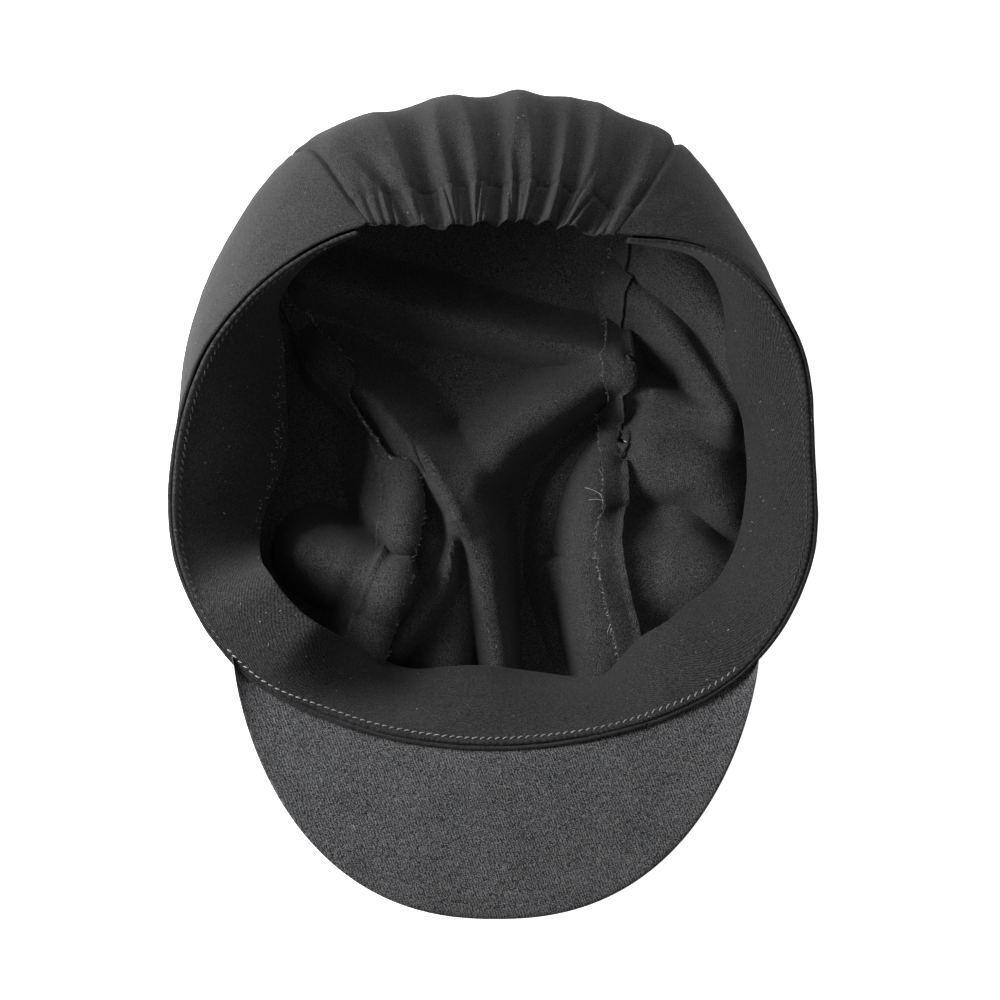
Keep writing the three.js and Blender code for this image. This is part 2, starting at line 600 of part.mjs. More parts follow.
// A seam allowance lies on the inside of the centre panel, sewn at the seam, with its raw edge lifted.
// It covers the panel's last columns, so that its faces follow the panel's own.
function seamAllowance(side) {
  const sign = side === "left" ? -1 : 1;
  const width = (2 * ALLOWANCE_COLUMNS) / CENTRE_COLUMNS;
  const place = (inward, along) =>
    centreToDisk(sign * (1 - width * inward), along, ALLOWANCE_MARGIN * (1 - inward));
  // The way that it lifts: inwards, evened out along the seam and turned up a little.
  const lift = (inward, along) =>
    [-ALLOWANCE_SMOOTHING, 0, ALLOWANCE_SMOOTHING]
      .map((step) => crownInward(...place(inward, along + step)))
      .reduce((sum, v) => sum.add(v))
      .add(new THREE.Vector3(0, 0, ALLOWANCE_UP))
      .normalize();
  const face = (inset) => (s, along) => {
    const inward = side === "left" ? s : 1 - s;
    const height = ALLOWANCE_GAP + ALLOWANCE_LIFT * inward + inset;
    return crownPoint(...place(inward, along), CLOTH).addScaledVector(lift(inward, along), height);
  };
  const rows = PANEL_ROWS.slice(ALLOWANCE_FIRST_ROW, ALLOWANCE_LAST_ROW);
  return sheet(ALLOWANCE_COLUMNS, rows, face(0), face(ALLOWANCE_THICKNESS));
}

function piece(name, geometry, color) {
  const material = new THREE.MeshStandardMaterial({ color, roughness: CLOTH_ROUGHNESS, metalness: 0 });
  const mesh = new THREE.Mesh(geometry, material);
  mesh.name = name;
  return mesh;
}

const cap = new THREE.Group();
cap.add(
  piece("crown_centre_panel", centrePanel(), CLOTH_COLOUR),
  piece("crown_left_panel", sidePanel("left"), CLOTH_COLOUR),
  piece("crown_right_panel", sidePanel("right"), CLOTH_COLOUR),
  piece("elastic_casing", elasticCasing(), CLOTH_COLOUR),
  piece("band", band(), CLOTH_COLOUR),
  piece("peak", peak(), PEAK_COLOUR),
  piece("left_seam_allowance", seamAllowance("left"), CLOTH_COLOUR),
  piece("right_seam_allowance", seamAllowance("right"), CLOTH_COLOUR),
);

export default cap;
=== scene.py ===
"""A charcoal cotton cycling cap lying on its crown with the opening up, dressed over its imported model.

The tables are in millimetres and degrees, as the part's own are. Meshes are made in metres.
+Z is up, -Y is the front with the peak, and angles run from +X (the right) through +Y (the back).
"""
import math
import random

import bpy
import numpy as np
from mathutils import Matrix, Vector, noise


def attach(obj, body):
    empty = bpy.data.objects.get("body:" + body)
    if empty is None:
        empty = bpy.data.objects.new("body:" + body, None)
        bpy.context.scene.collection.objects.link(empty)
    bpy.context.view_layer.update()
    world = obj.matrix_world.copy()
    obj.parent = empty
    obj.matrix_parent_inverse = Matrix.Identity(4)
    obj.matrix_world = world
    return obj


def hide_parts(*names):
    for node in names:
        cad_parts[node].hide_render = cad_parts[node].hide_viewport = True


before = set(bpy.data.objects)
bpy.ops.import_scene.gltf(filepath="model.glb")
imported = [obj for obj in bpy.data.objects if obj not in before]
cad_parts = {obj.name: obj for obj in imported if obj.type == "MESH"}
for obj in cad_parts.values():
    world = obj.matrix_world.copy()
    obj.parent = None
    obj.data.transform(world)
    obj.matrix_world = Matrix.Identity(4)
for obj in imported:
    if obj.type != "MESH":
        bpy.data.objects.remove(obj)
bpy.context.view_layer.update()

# Units
MM = 0.001
MM_IN_DECIMETRE = 100
DECIMETRES_IN_METRE = 10

# Thickness of the cloth, and the gap between sewn pieces
CLOTH = 1.2
GAP = 0.3
CASING_THICKNESS = 2.2

# The facing runs from one end of the casing round the front to the other, and bows a little.
BAND_FROM = 122
BAND_TO = 417
BAND_BOW = 2

# The peak is a rounded plate, arched across, that rises a little from the front rim.
PEAK_THICKNESS = 2.6
PEAK_HALF_WIDTH = 81.7
PEAK_SHIFT = 0.9
PEAK_WIDEST_Y = -26
PEAK_REACH_Y = -140.3
PEAK_ARCH = 2.5
PEAK_RISE = 4
PEAK_ROUNDNESS = 2.3
PEAK_END_ANGLE = 38.2
PEAK_END_TURN = 15.4
PEAK_ROOT_ROLL = 1.1
PEAK_ROOT_SHARE = 0.06
PEAK_TUCK = 0.4
FRONT_ANGLE = 270.0

# The crown is mapped to a unit disk: its middle is the centre and its rim is the circle.
# These radii of the disk are where the resting foot ends and where the wall is widest.
FOOT_AT = 0.33
WALL_AT = 0.7
CASING_AT = 0.945
DISK_MIDDLE_MM = 165
DISK_RIM_MM = 95
DISK_STEP = 0.004

# Places of the section curves' handles, as shares of the way between their ends.
FOOT_HANDLES = dict(along=0.6, up=0.45)
WALL_HANDLES = dict(lean=0.5, low=0.45, high=0.85)

# Seeds of everything random, so that each run gives the same cap.
SEEDS = dict(undulation=1, crinkle=2, band_undulation=3, band_crinkle=4, pleats=7, topstitch=1,
             left_seam=5, right_seam=6, lint=21)
SEED_STEP = 17.31

# Sections round the cap, one every 20 degrees from +X. rim and wall are radii, and foot is the radius
# of the resting face.
SECTION_STEP = 20
SECTIONS = [
    dict(angle=0, rim=96.6, rim_height=84, wall=95, wall_height=46, foot=55),
    dict(angle=20, rim=97, rim_height=87, wall=98, wall_height=47, foot=56),
    dict(angle=40, rim=90.8, rim_height=90, wall=104.2, wall_height=49, foot=58),
    dict(angle=60, rim=74.3, rim_height=92.5, wall=112.8, wall_height=51, foot=60),
    dict(angle=80, rim=70.6, rim_height=94, wall=113.3, wall_height=51, foot=62),
    dict(angle=100, rim=69, rim_height=94, wall=112.4, wall_height=51, foot=62),
    dict(angle=120, rim=76.8, rim_height=92.5, wall=112.6, wall_height=51, foot=60),
    dict(angle=140, rim=83.8, rim_height=90, wall=106.6, wall_height=49, foot=58),
    dict(angle=160, rim=91, rim_height=87, wall=101.2, wall_height=47, foot=56),
    dict(angle=180, rim=95.8, rim_height=84, wall=95, wall_height=46, foot=55),
    dict(angle=200, rim=101.3, rim_height=81, wall=96, wall_height=44, foot=53),
    dict(angle=220, rim=101.2, rim_height=78, wall=94, wall_height=42, foot=50),
    dict(angle=240, rim=95, rim_height=75.5, wall=91, wall_height=40, foot=48),
    dict(angle=260, rim=91, rim_height=74, wall=88, wall_height=39, foot=47),
    dict(angle=280, rim=91, rim_height=74, wall=88, wall_height=39, foot=47),
    dict(angle=300, rim=95.5, rim_height=75.5, wall=91, wall_height=40, foot=48),
    dict(angle=320, rim=102, rim_height=78, wall=94, wall_height=42, foot=50),
    dict(angle=340, rim=101.6, rim_height=81, wall=96, wall_height=44, foot=53),
]

# How far the facing leans in and how far it drops, from the left end of the casing round the front.
BAND_FALL = [
    dict(angle=122, reach=-8.0, drop=36), dict(angle=134, reach=-6.0, drop=36),
    dict(angle=146, reach=2.0, drop=38), dict(angle=152, reach=12.3, drop=38),
    dict(angle=161, reach=20.5, drop=38), dict(angle=171, reach=26.1, drop=38),
    dict(angle=181, reach=28.9, drop=38), dict(angle=188, reach=27.0, drop=38),
    dict(angle=196, reach=22.6, drop=37), dict(angle=200, reach=21.2, drop=32),
    dict(angle=205, reach=21.0, drop=14), dict(angle=210, reach=23.9, drop=0),
    dict(angle=226, reach=24.4, drop=-3), dict(angle=231, reach=22.9, drop=8),
    dict(angle=238, reach=19.7, drop=30), dict(angle=244, reach=16.9, drop=36),
    dict(angle=250, reach=16.9, drop=35), dict(angle=258, reach=20.1, drop=28),
    dict(angle=264, reach=21.3, drop=26), dict(angle=270, reach=21.2, drop=27),
    dict(angle=282, reach=17.8, drop=35), dict(angle=296, reach=12.6, drop=37),
    dict(angle=303, reach=18.5, drop=30), dict(angle=309, reach=22.9, drop=22),
    dict(angle=316, reach=23.6, drop=20), dict(angle=322, reach=23.4, drop=26),
    dict(angle=330, reach=18.7, drop=37), dict(angle=343, reach=17.2, drop=36),
    dict(angle=356, reach=14.5, drop=37), dict(angle=366, reach=15.1, drop=37),
    dict(angle=374, reach=17.4, drop=36), dict(angle=380, reach=17.0, drop=36),
    dict(angle=388, reach=10.3, drop=38), dict(angle=395, reach=4.0, drop=38),
    dict(angle=405, reach=-4.0, drop=38), dict(angle=417, reach=-8.0, drop=38),
]

# Half widths of the centre panel in the disk, from the front rim (along -1) to the back rim (along 1).
SEAM_STEP = 0.25
SEAMS = [
    dict(along=-1, left=0.447, right=0.485),
    dict(along=-0.75, left=0.385, right=0.405),
    dict(along=-0.5, left=0.305, right=0.31),
    dict(along=-0.25, left=0.238, right=0.268),
    dict(along=0, left=0.222, right=0.262),
    dict(along=0.25, left=0.37, right=0.25),
    dict(along=0.5, left=0.445, right=0.265),
    dict(along=0.75, left=0.405, right=0.385),
    dict(along=1, left=0.483, right=0.5),
]

# Folds that push the soft top of the crown up into the cap, each along its way as seen from above.
# rise is the share of the height at the start, middle and end of the way. left and right are its two
# sides: half width at the start, middle and end, breadth of the top, and softness of the foot.
FOLDS = [
    dict(name="floor_lift", height=7, rise=(0.3, 1, 1),
         left=(56, 60, 56, 2.4, 1.5), right=(56, 60, 56, 2.4, 1.5),
         way=((0, 24), (0, 0), (2, -26))),
    dict(name="back_line", height=23, rise=(0.5, 0.9, 1),
         left=(16, 18, 14, 1.5, 1.5), right=(9, 9, 9, 1.5, 1.5),
         way=((-60, 57), (-32, 49), (-4, 41), (40, 31))),
    dict(name="upper_ridge", height=34, rise=(0.6, 0.9, 1),
         left=(16, 24, 20, 1.3, 1.7), right=(9, 10, 10, 1.4, 1.3),
         way=((-55, 29), (-38, 16.7), (-26.8, 3), (-15.2, -13.3), (-10, -24))),
    dict(name="stem", height=36, rise=(0.8, 1, 0.9),
         left=(20, 15, 8, 3.2, 1.2), right=(8, 12, 9, 1.3, 1.3),
         way=((-17, -10), (-12, -18), (-6.5, -29.4), (-2.5, -50.4), (1, -70))),
    dict(name="right_arm", height=30, rise=(1, 0.93, 0.9),
         left=(8, 10, 12, 3, 1.1), right=(13, 17, 22, 1.4, 1.6),
         way=((41, 28), (34.4, 25.5), (19.3, 16.2), (4.8, 6.5), (-6.5, -8))),
    dict(name="right_mound", height=31, rise=(0.6, 1, 0.85),
         left=(28, 32, 34, 2.5, 1.4), right=(11, 12, 12, 2.2, 1.1),
         way=((40, -2), (35, -13), (31.5, -31), (32.5, -50), (38, -72))),
    dict(name="right_field", height=28, rise=(0.9, 1, 0.9),
         left=(24, 26, 26, 2.5, 1.6), right=(24, 26, 26, 2.5, 1.6),
         way=((58, 2), (64, -8), (68, -16))),
    dict(name="right_swell", height=30, rise=(0.8, 1, 1),
         left=(18, 18, 18, 2, 1.4), right=(30, 30, 28, 2.4, 1.4),
         way=((38, -34), (58, -34), (74, -40))),
    dict(name="right_wall", height=33, rise=(0.8, 1, 1),
         left=(20, 20, 20, 2.5, 1.5), right=(18, 18, 18, 2, 1.5),
         way=((58, 60), (76, 40), (86, 14))),
    dict(name="right_diagonal", height=33, rise=(0.5, 0.9, 1),
         left=(12, 14, 14, 1.5, 1.5), right=(12, 14, 14, 1.5, 1.5),
         way=((44.8, 54), (54, 44.4), (65.7, 28.3), (75, 12))),
    dict(name="right_cross", height=30, rise=(0.9, 1, 1),
         left=(12, 12, 10, 1.4, 1.6), right=(14, 14, 14, 1.5, 1.5),
         way=((42, 24), (50, 19.5), (63, 14.5), (76, 9))),
    dict(name="left_billow", height=42, rise=(0.4, 1, 1),
         left=(7, 7, 7, 2.6, 1.2), right=(20, 24, 22, 1.8, 1.5),
         way=((-33.5, 8), (-29.5, -9), (-29.5, -23), (-32, -41), (-40, -62))),
    dict(name="left_swell", height=46, rise=(0.85, 1, 0.9),
         left=(16, 17, 15, 2.2, 1.3), right=(16, 19, 17, 2.2, 1.3),
         way=((-57, -32), (-47, -36), (-35, -42))),
    dict(name="fan", height=28, rise=(0.5, 1, 0.8),
         left=(14, 14, 14, 2.4, 1.6), right=(14, 14, 14, 2.4, 1.6),
         way=((-25, -4), (-20, -28), (-26, -56))),
    dict(name="front_apron", height=27, rise=(0.9, 1, 1),
         left=(10, 10, 10, 2.5, 1.3), right=(12, 14, 16, 2.5, 1.3),
         way=((-15, -32), (-12, -48), (-14, -68))),
    dict(name="front_fold", height=34, rise=(0.9, 1, 0.85),
         left=(7, 8, 8, 1.4, 1.4), right=(8, 9, 9, 1.4, 1.4),
         way=((-12.3, -21), (-15.2, -41), (-22, -52), (-32, -63))),
]
# Creases that are drawn down into those folds.
CREASES = [
    dict(name="left_crease", height=10, rise=(0.4, 1, 1),
         left=(6, 6, 5, 1.5, 1.6), right=(8, 8, 6, 1.5, 1.6),
         way=((-54, -13), (-46, -19), (-39, -26), (-29, -33))),
    dict(name="crescent", height=9, rise=(0.5, 1, 1),
         left=(5, 7, 9, 1.6, 1.3), right=(5, 7, 9, 1.6, 1.3),
         way=((38, 18), (24.5, 6), (13, -8), (8.5, -26), (8, -44), (12.5, -70))),
    dict(name="right_crease", height=8, rise=(0.4, 1, 1),
         left=(6, 6, 7, 1.5, 1.6), right=(7, 7, 7, 1.5, 1.6),
         way=((40, -18), (54, -16), (65, -18.5), (79, -31))),
    dict(name="seam_pocket", height=6, rise=(1, 1, 0.4),
         left=(5, 5, 5, 1.4, 1.4), right=(6, 6, 6, 1.4, 1.4),
         way=((47, 16), (46, 8), (43, -2))),
]
WAY_POINTS = 16
FOLD_MERGE = 4
FOLD_FADE_FROM = 2
FOLD_FADE_TO = 32

# Dents in the standing wall. at is the disk radius, and drop tilts the dent along the wall.
DENTS = [
    dict(angle=8, at=0.8, wide=16, tall=0.12, deep=3, drop=0.004),
    dict(angle=338, at=0.68, wide=14, tall=0.1, deep=3.5, drop=-0.004),
    dict(angle=318, at=0.82, wide=11, tall=0.11, deep=2.5, drop=0.003),
    dict(angle=292, at=0.7, wide=12, tall=0.1, deep=3, drop=-0.003),
    dict(angle=262, at=0.74, wide=13, tall=0.11, deep=3, drop=0.004),
    dict(angle=236, at=0.8, wide=11, tall=0.1, deep=2.5, drop=-0.004),
    dict(angle=208, at=0.7, wide=15, tall=0.12, deep=3.5, drop=0.004),
    dict(angle=182, at=0.82, wide=13, tall=0.1, deep=3, drop=-0.003),
    dict(angle=150, at=0.62, wide=14, tall=0.1, deep=3.5, drop=0.003),
    dict(angle=98, at=0.6, wide=16, tall=0.1, deep=3, drop=0.002),
    dict(angle=40, at=0.6, wide=15, tall=0.1, deep=3.5, drop=-0.003),
]

# Gathers that run from the elastic casing down the back, and end before the disk's GATHER_BACK. far and
# edge are their places across the panel, -1 to 1, where they end and at the casing.
GATHERS = [
    dict(far=-0.84, edge=-0.72, reach=0.16, deep=2.6, wide=0.08),
    dict(far=-0.45, edge=-0.48, reach=0.34, deep=5, wide=0.13),
    dict(far=-0.27, edge=-0.22, reach=0.16, deep=2.8, wide=0.09),
    dict(far=-0.08, edge=0.03, reach=0.36, deep=5.2, wide=0.13),
    dict(far=0.13, edge=0.2, reach=0.14, deep=2.4, wide=0.08),
    dict(far=0.25, edge=0.37, reach=0.32, deep=4.6, wide=0.11),
    dict(far=0.43, edge=0.56, reach=0.27, deep=3.8, wide=0.09),
    dict(far=0.67, edge=0.81, reach=0.32, deep=4.6, wide=0.12),
]
GATHER_BACK = 0.3
GATHER_SPREAD = 1.5
GATHER_FULL_AT = 0.8
GATHER_FADE_AT = 0.9

# Small sharp pleats beside the casing's stitch line, and the pinch along it. Places, slants, widths and
# reaches are in the panel's own places, -1 to 1, and depths in millimetres.
SMALL_PLEATS = 24
SMALL_PLEAT_SPAN = 0.93
SMALL_PLEAT_OFFSET = (0.15, 0.85)
SMALL_PLEAT_SLANT = 1.2
SMALL_PLEAT_WIDTH = (0.018, 0.042)
SMALL_PLEAT_DEPTH = (0.9, 1.9)
SMALL_PLEAT_REACH = (0.04, 0.1)
SMALL_PLEAT_OVERLAP = 0.01
SMALL_PLEAT_SHARPNESS = 1.3
SMALL_PLEAT_FADING = 1.2
PINCH_DEPTH = 0.7
PINCH_HALF_WIDTH = 0.01
PINCH_SHARPNESS = 1.5

# The crown's seams lie in a dip, which fades towards the rim, and pucker the cloth beside them. The puckers
# are counted towards the back and by a share of the height, their climb, and drift a little out of step.
SEAM_DIP = 1.4
SEAM_DIP_WIDTH = 1.1
SEAM_DIP_FADE_FROM = 0.93
SEAM_PUCKER = 0.18
SEAM_PUCKER_LENGTH = 7
SEAM_PUCKER_WIDTH = 8
SEAM_PUCKER_CLIMB = 0.7
SEAM_PUCKER_DRIFT = 2
SEAM_PUCKER_DRIFT_LENGTH = 11

# Small unevenness of the cloth: how deep, and how long its features are.
UNDULATION = 0.7
UNDULATION_LENGTH = 26
CRINKLE = 0.14
CRINKLE_LENGTH = 6
BAND_UNDULATION = 0.5
BAND_UNDULATION_LENGTH = 24
BAND_CRINKLE = 0.12

# Rows and columns of the pieces' grids
CENTRE_GRID = (260, 150)
SIDE_GRID = (220, 90)
SIDE_COLUMN_SPREAD = 1.25
CASING_GRID = (26, 420)
CASING_SPAN = 0.985
BAND_GRID = (34, 420)
PEAK_GRID = (70, 160)
PEAK_ROW_SPREAD = 1.5
ALLOWANCE_GRID = (320, 14)


def lerp(a, b, t):
    return a + (b - a) * t


def smoothstep(x, low, high):
    t = np.clip((x - low) / (high - low), 0, 1)
    return t * t * (3 - 2 * t)


def normalised(vectors):
    return vectors / np.maximum(np.linalg.norm(vectors, axis=-1, keepdims=True), 1e-9)


def grid(shape, down_rows, across_columns):
    """Two arrays over a grid: places from first to last down its rows, and across its columns."""
    rows = np.linspace(*down_rows, shape[0])
    columns = np.linspace(*across_columns, shape[1])
    return np.meshgrid(rows, columns, indexing="ij")


def smooth_column(values, x, periodic):
    """Smooth curve through evenly spaced values, read at row numbers x."""
    values = np.asarray(values, float)
    n = len(values)
    row = np.floor(x).astype(int)
    t = x - row

    def at(i):
        return values[i % n] if periodic else values[np.clip(i, 0, n - 1)]

    a, b, c, d = at(row - 1), at(row), at(row + 1), at(row + 2)
    return b + 0.5 * t * (c - a + t * (2 * a - 5 * b + 4 * c - d + t * (3 * (b - c) + d - a)))


def bezier(a, b, c, d, t):
    return a * (1 - t) ** 3 + 3 * b * t * (1 - t) ** 2 + 3 * c * t * t * (1 - t) + d * t ** 3


def section(angle):
    """Sizes of the cap's section at each angle."""
    keys = ("rim", "rim_height", "wall", "wall_height", "foot")
    return {k: smooth_column([row[k] for row in SECTIONS], angle / SECTION_STEP, True) for k in keys}


def profile(s, radius):
    """Radius and height of the section: resting foot, rounded corner, then the wall up to the rim."""
    foot, wall, rim = s["foot"], s["wall"], s["rim"]
    wall_height, rim_height = s["wall_height"], s["rim_height"]
    t = np.clip((radius - FOOT_AT) / (WALL_AT - FOOT_AT), 0, 1)
    corner_r = bezier(foot, lerp(foot, wall, FOOT_HANDLES["along"]), wall, wall, t)
    corner_z = bezier(0, 0, FOOT_HANDLES["up"] * wall_height, wall_height, t)
    t = (radius - WALL_AT) / (1 - WALL_AT)
    wall_r = bezier(wall, wall, lerp(rim, wall, WALL_HANDLES["lean"]), rim, t)
    low = lerp(wall_height, rim_height, WALL_HANDLES["low"])
    high = lerp(wall_height, rim_height, WALL_HANDLES["high"])
    wall_z = bezier(wall_height, low, high, rim_height, t)
    r = np.where(radius < FOOT_AT, foot * radius / FOOT_AT, np.where(radius < WALL_AT, corner_r, wall_r))
    z = np.where(radius < FOOT_AT, 0, np.where(radius < WALL_AT, corner_z, wall_z))
    return r, z


def smooth_way(points):
    """A smooth way through a fold's few points."""
    points = np.array(points, float)
    x = np.linspace(0, len(points) - 1, WAY_POINTS + 1)
    x[-1] -= 1e-9
    return np.stack([smooth_column(points[:, k], x, False) for k in range(2)], 1)


def to_way(way, x, y):
    """Distance from each point to a way, the side it is on, and how far along the way it is."""
    best = np.full(x.shape, np.inf)
    side = np.ones(x.shape)
    along = np.zeros(x.shape)
    for i, ((ax, ay), (bx, by)) in enumerate(zip(way, way[1:])):
        dx, dy = bx - ax, by - ay
        t = np.clip(((x - ax) * dx + (y - ay) * dy) / (dx * dx + dy * dy), 0, 1)
        ex, ey = x - ax - t * dx, y - ay - t * dy
        distance = np.hypot(ex, ey)
        nearer = distance < best
        best = np.where(nearer, distance, best)
        side = np.where(nearer, np.where(dx * ey - dy * ex < 0, -1, 1), side)
        along = np.where(nearer, (i + t) / (len(way) - 1), along)
    return best, side, along


def three_part(start, middle, end, along):
    return np.where(along < 0.5, lerp(start, middle, 2 * along), lerp(middle, end, 2 * along - 1))


def fold_heights(folds, x, y):
    """The height of each fold at each place."""
    for fold in folds:
        distance, side, along = to_way(smooth_way(fold["way"]), x, y)
        sides = [np.where(side > 0, a, b) for a, b in zip(fold["left"], fold["right"])]
        share = np.clip(distance / three_part(*sides[:3], along), 0, 1)
        yield fold["height"] * three_part(*fold["rise"], along) * (1 - share ** sides[3]) ** sides[4]


def fold_height(x, y):
    """The merged folds less the creases in them."""
    folds = sum(height ** FOLD_MERGE for height in fold_heights(FOLDS, x, y)) ** (1 / FOLD_MERGE)
    return np.maximum(folds - sum(fold_heights(CREASES, x, y)), 0)


def dent_depth(angle, radius):
    total = np.zeros(angle.shape)
    for dent in DENTS:
        across = (angle - dent["angle"] + 540) % 360 - 180
        up = radius - dent["at"] - dent["drop"] * across
        share = np.clip((across / dent["wide"]) ** 2 + (up / dent["tall"]) ** 2, 0, 1)
        total += dent["deep"] * (1 - share) ** 2
    return total


def seam_half_width(along, side):
    rows = [row[side] for row in SEAMS]
    return smooth_column(rows, (np.clip(along, -1, 1 - 1e-9) + 1) / SEAM_STEP, False)


def across_disk(mm, along):
    """A length across the seams in units of the disk, which is drawn together towards the rim."""
    return mm / lerp(DISK_MIDDLE_MM, DISK_RIM_MM, along * along)


def half_width(across, along):
    left = seam_half_width(along, "left")
    right = seam_half_width(along, "right")
    return np.where(across < 0, left, right)


def column_length(across, along):
    """How far the centre panel's columns run in the disk, so that they end on the circle."""
    front = np.sqrt(1 - (across * half_width(across, np.full(across.shape, -1.0))) ** 2)
    back = np.sqrt(1 - (across * half_width(across, np.full(across.shape, 1.0))) ** 2)
    return lerp(front, back, (along + 1) / 2)


def centre_to_disk(across, along, margin=0):
    """From the centre panel's places, each -1 to 1, to the disk, short of the seams by a margin."""
    half = half_width(across, along) - across_disk(margin, along)
    return across * half, along * column_length(across, along)


def disk_to_centre(p, q):
    """The other way, by two rounds of correction."""
    along = q
    for _ in range(2):
        across = p / half_width(p, along)
        along = q / column_length(np.clip(across, -1, 1), along)
    return across, along


def gather_depth(across, along):
    """The gathers end at the seams and fade out down the back."""
    total = np.zeros(across.shape)
    for g in GATHERS:
        t = np.clip(1 - (CASING_AT - along) / g["reach"], 0, 1)
        share = np.abs(across - lerp(g["far"], g["edge"], t)) / (g["wide"] * lerp(GATHER_SPREAD, 1, t))
        share = np.clip(share, 0, 1)
        total += g["deep"] * smoothstep(t, 0, GATHER_FULL_AT) * (1 - share * share) ** 2
    return total * (1 - smoothstep(np.abs(across), GATHER_FADE_AT, 1))


def small_pleat_depth(across, along):
    """Small sharp pleats at both sides of the casing's stitch line, and the pinch along it."""
    rng = random.Random(SEEDS["pleats"])
    total = np.zeros(across.shape)
    for i in range(SMALL_PLEATS):
        share_of_span = (i + rng.uniform(*SMALL_PLEAT_OFFSET)) / SMALL_PLEATS
        centre = lerp(-SMALL_PLEAT_SPAN, SMALL_PLEAT_SPAN, share_of_span)
        slant = rng.uniform(-SMALL_PLEAT_SLANT, SMALL_PLEAT_SLANT)
        wide = rng.uniform(*SMALL_PLEAT_WIDTH)
        deep = rng.uniform(*SMALL_PLEAT_DEPTH)
        reach = rng.uniform(*SMALL_PLEAT_REACH)
        away = np.clip((CASING_AT + SMALL_PLEAT_OVERLAP - along) / reach, 0, 1)
        share = np.clip(np.abs(across - centre - slant * (along - CASING_AT)) / wide, 0, 1)
        total += deep * (1 - share) ** SMALL_PLEAT_SHARPNESS * (1 - away) ** SMALL_PLEAT_FADING
    pinch = np.clip(1 - np.abs(along - CASING_AT) / PINCH_HALF_WIDTH, 0, 1)
    return total + PINCH_DEPTH * pinch ** PINCH_SHARPNESS


def noise_field(points, length, seed):
    """Smooth noise from -1 to 1 at each point, with features of about the given length."""
    flat = points.reshape(-1, 3) / length + seed * SEED_STEP
    return np.array([noise.noise(tuple(v)) for v in flat]).reshape(points.shape[:-1])


def crown_base(p, q):
    """Outer face of the crown with its folds and dents, before its finer relief."""
    radius = np.hypot(p, q)
    angle = np.degrees(np.arctan2(q, p))
    r, z = profile(section(angle), radius)
    r = r - dent_depth(angle, radius)
    x, y = r * np.cos(np.radians(angle)), r * np.sin(np.radians(angle))
    lift = fold_height(x, y) * (1 - smoothstep(z, FOLD_FADE_FROM, FOLD_FADE_TO))
    return np.stack([x, y, z + lift], -1)


def crown_inward(p, q):
    """The direction from the outer face into the cap."""
    dp = crown_base(p + DISK_STEP, q) - crown_base(p - DISK_STEP, q)
    dq = crown_base(p, q + DISK_STEP) - crown_base(p, q - DISK_STEP)
    n = np.cross(dp, dq)
    return n / np.linalg.norm(n, axis=-1, keepdims=True)


def seam_relief(p, q, along, base):
    """The dip along the crown's seams and the puckers beside them."""
    seam = np.abs(np.abs(p) - half_width(p, along)) / across_disk(1, along)
    dip = SEAM_DIP * np.exp(-(seam / SEAM_DIP_WIDTH) ** 2)
    dip = dip * (1 - smoothstep(np.hypot(p, q), SEAM_DIP_FADE_FROM, 1))
    run = base[..., 1] + SEAM_PUCKER_CLIMB * base[..., 2]
    drift = SEAM_PUCKER_DRIFT * np.sin(run / SEAM_PUCKER_DRIFT_LENGTH)
    pucker = SEAM_PUCKER * np.sin(2 * np.pi * run / SEAM_PUCKER_LENGTH + drift)
    return dip + pucker * np.exp(-(seam / SEAM_PUCKER_WIDTH) ** 2)


def crown_relief(p, q, base):
    """How far the finer forms push the cloth inwards: gathers, pleats, seams and small unevenness."""
    across, along = disk_to_centre(p, q)
    inside = (np.abs(across) < 1) & (q > GATHER_BACK)
    gathers = np.where(inside, gather_depth(across, along), 0)
    pleats = np.where(inside, small_pleat_depth(across, along), 0)
    soft = UNDULATION * noise_field(base, UNDULATION_LENGTH, SEEDS["undulation"])
    crinkle = CRINKLE * noise_field(base, CRINKLE_LENGTH, SEEDS["crinkle"])
    return gathers + pleats + seam_relief(p, q, along, base) + soft + crinkle


def crown_faces(p, q, thickness=CLOTH):
    """The crown's outer and inner faces, and the direction inwards, at places of the disk."""
    base = crown_base(p, q)
    inward = crown_inward(p, q)
    relief = crown_relief(p, q, base)[..., None]
    return base + inward * relief, base + inward * (relief + thickness), inward


def spread_uv(face):
    """Cloth coordinates in decimetres: lengths along the rows and columns, from the middle of the grid."""
    rows, columns = face.shape[:2]
    across = np.linalg.norm(np.diff(face, axis=1), axis=2)
    along = np.linalg.norm(np.diff(face, axis=0), axis=2)
    u = np.concatenate([np.zeros((rows, 1)), np.cumsum(across, 1)], 1)
    v = np.concatenate([np.zeros((1, columns)), np.cumsum(along, 0)], 0)
    u -= u[:, columns // 2][:, None]
    v -= v[rows // 2][None, :]
    return np.stack([u, v], -1) / MM_IN_DECIMETRE


# Edges between faces that meet more steeply than this, in degrees, are drawn sharp.
CLOTH_SHARP_EDGE = 60
THREAD_SHARP_EDGE = 80


def make_object(name, vertices, faces, uvs, material, sharp_edge):
    """A smooth-shaded object from vertices in millimetres and one cloth coordinate for each vertex."""
    mesh = bpy.data.meshes.new(name)
    mesh.from_pydata((np.asarray(vertices) * MM).tolist(), [], faces)
    mesh.validate()
    if uvs is not None:
        layer = mesh.uv_layers.new(name="weave")
        corners = np.zeros(len(mesh.loops), int)
        mesh.loops.foreach_get("vertex_index", corners)
        layer.data.foreach_set("uv", np.asarray(uvs, np.float32)[corners].ravel())
    mesh.materials.append(material)
    mesh.shade_smooth()
    mesh.set_sharp_from_angle(angle=math.radians(sharp_edge))
    made = bpy.data.objects.new(name, mesh)
    bpy.context.collection.objects.link(made)
    return made


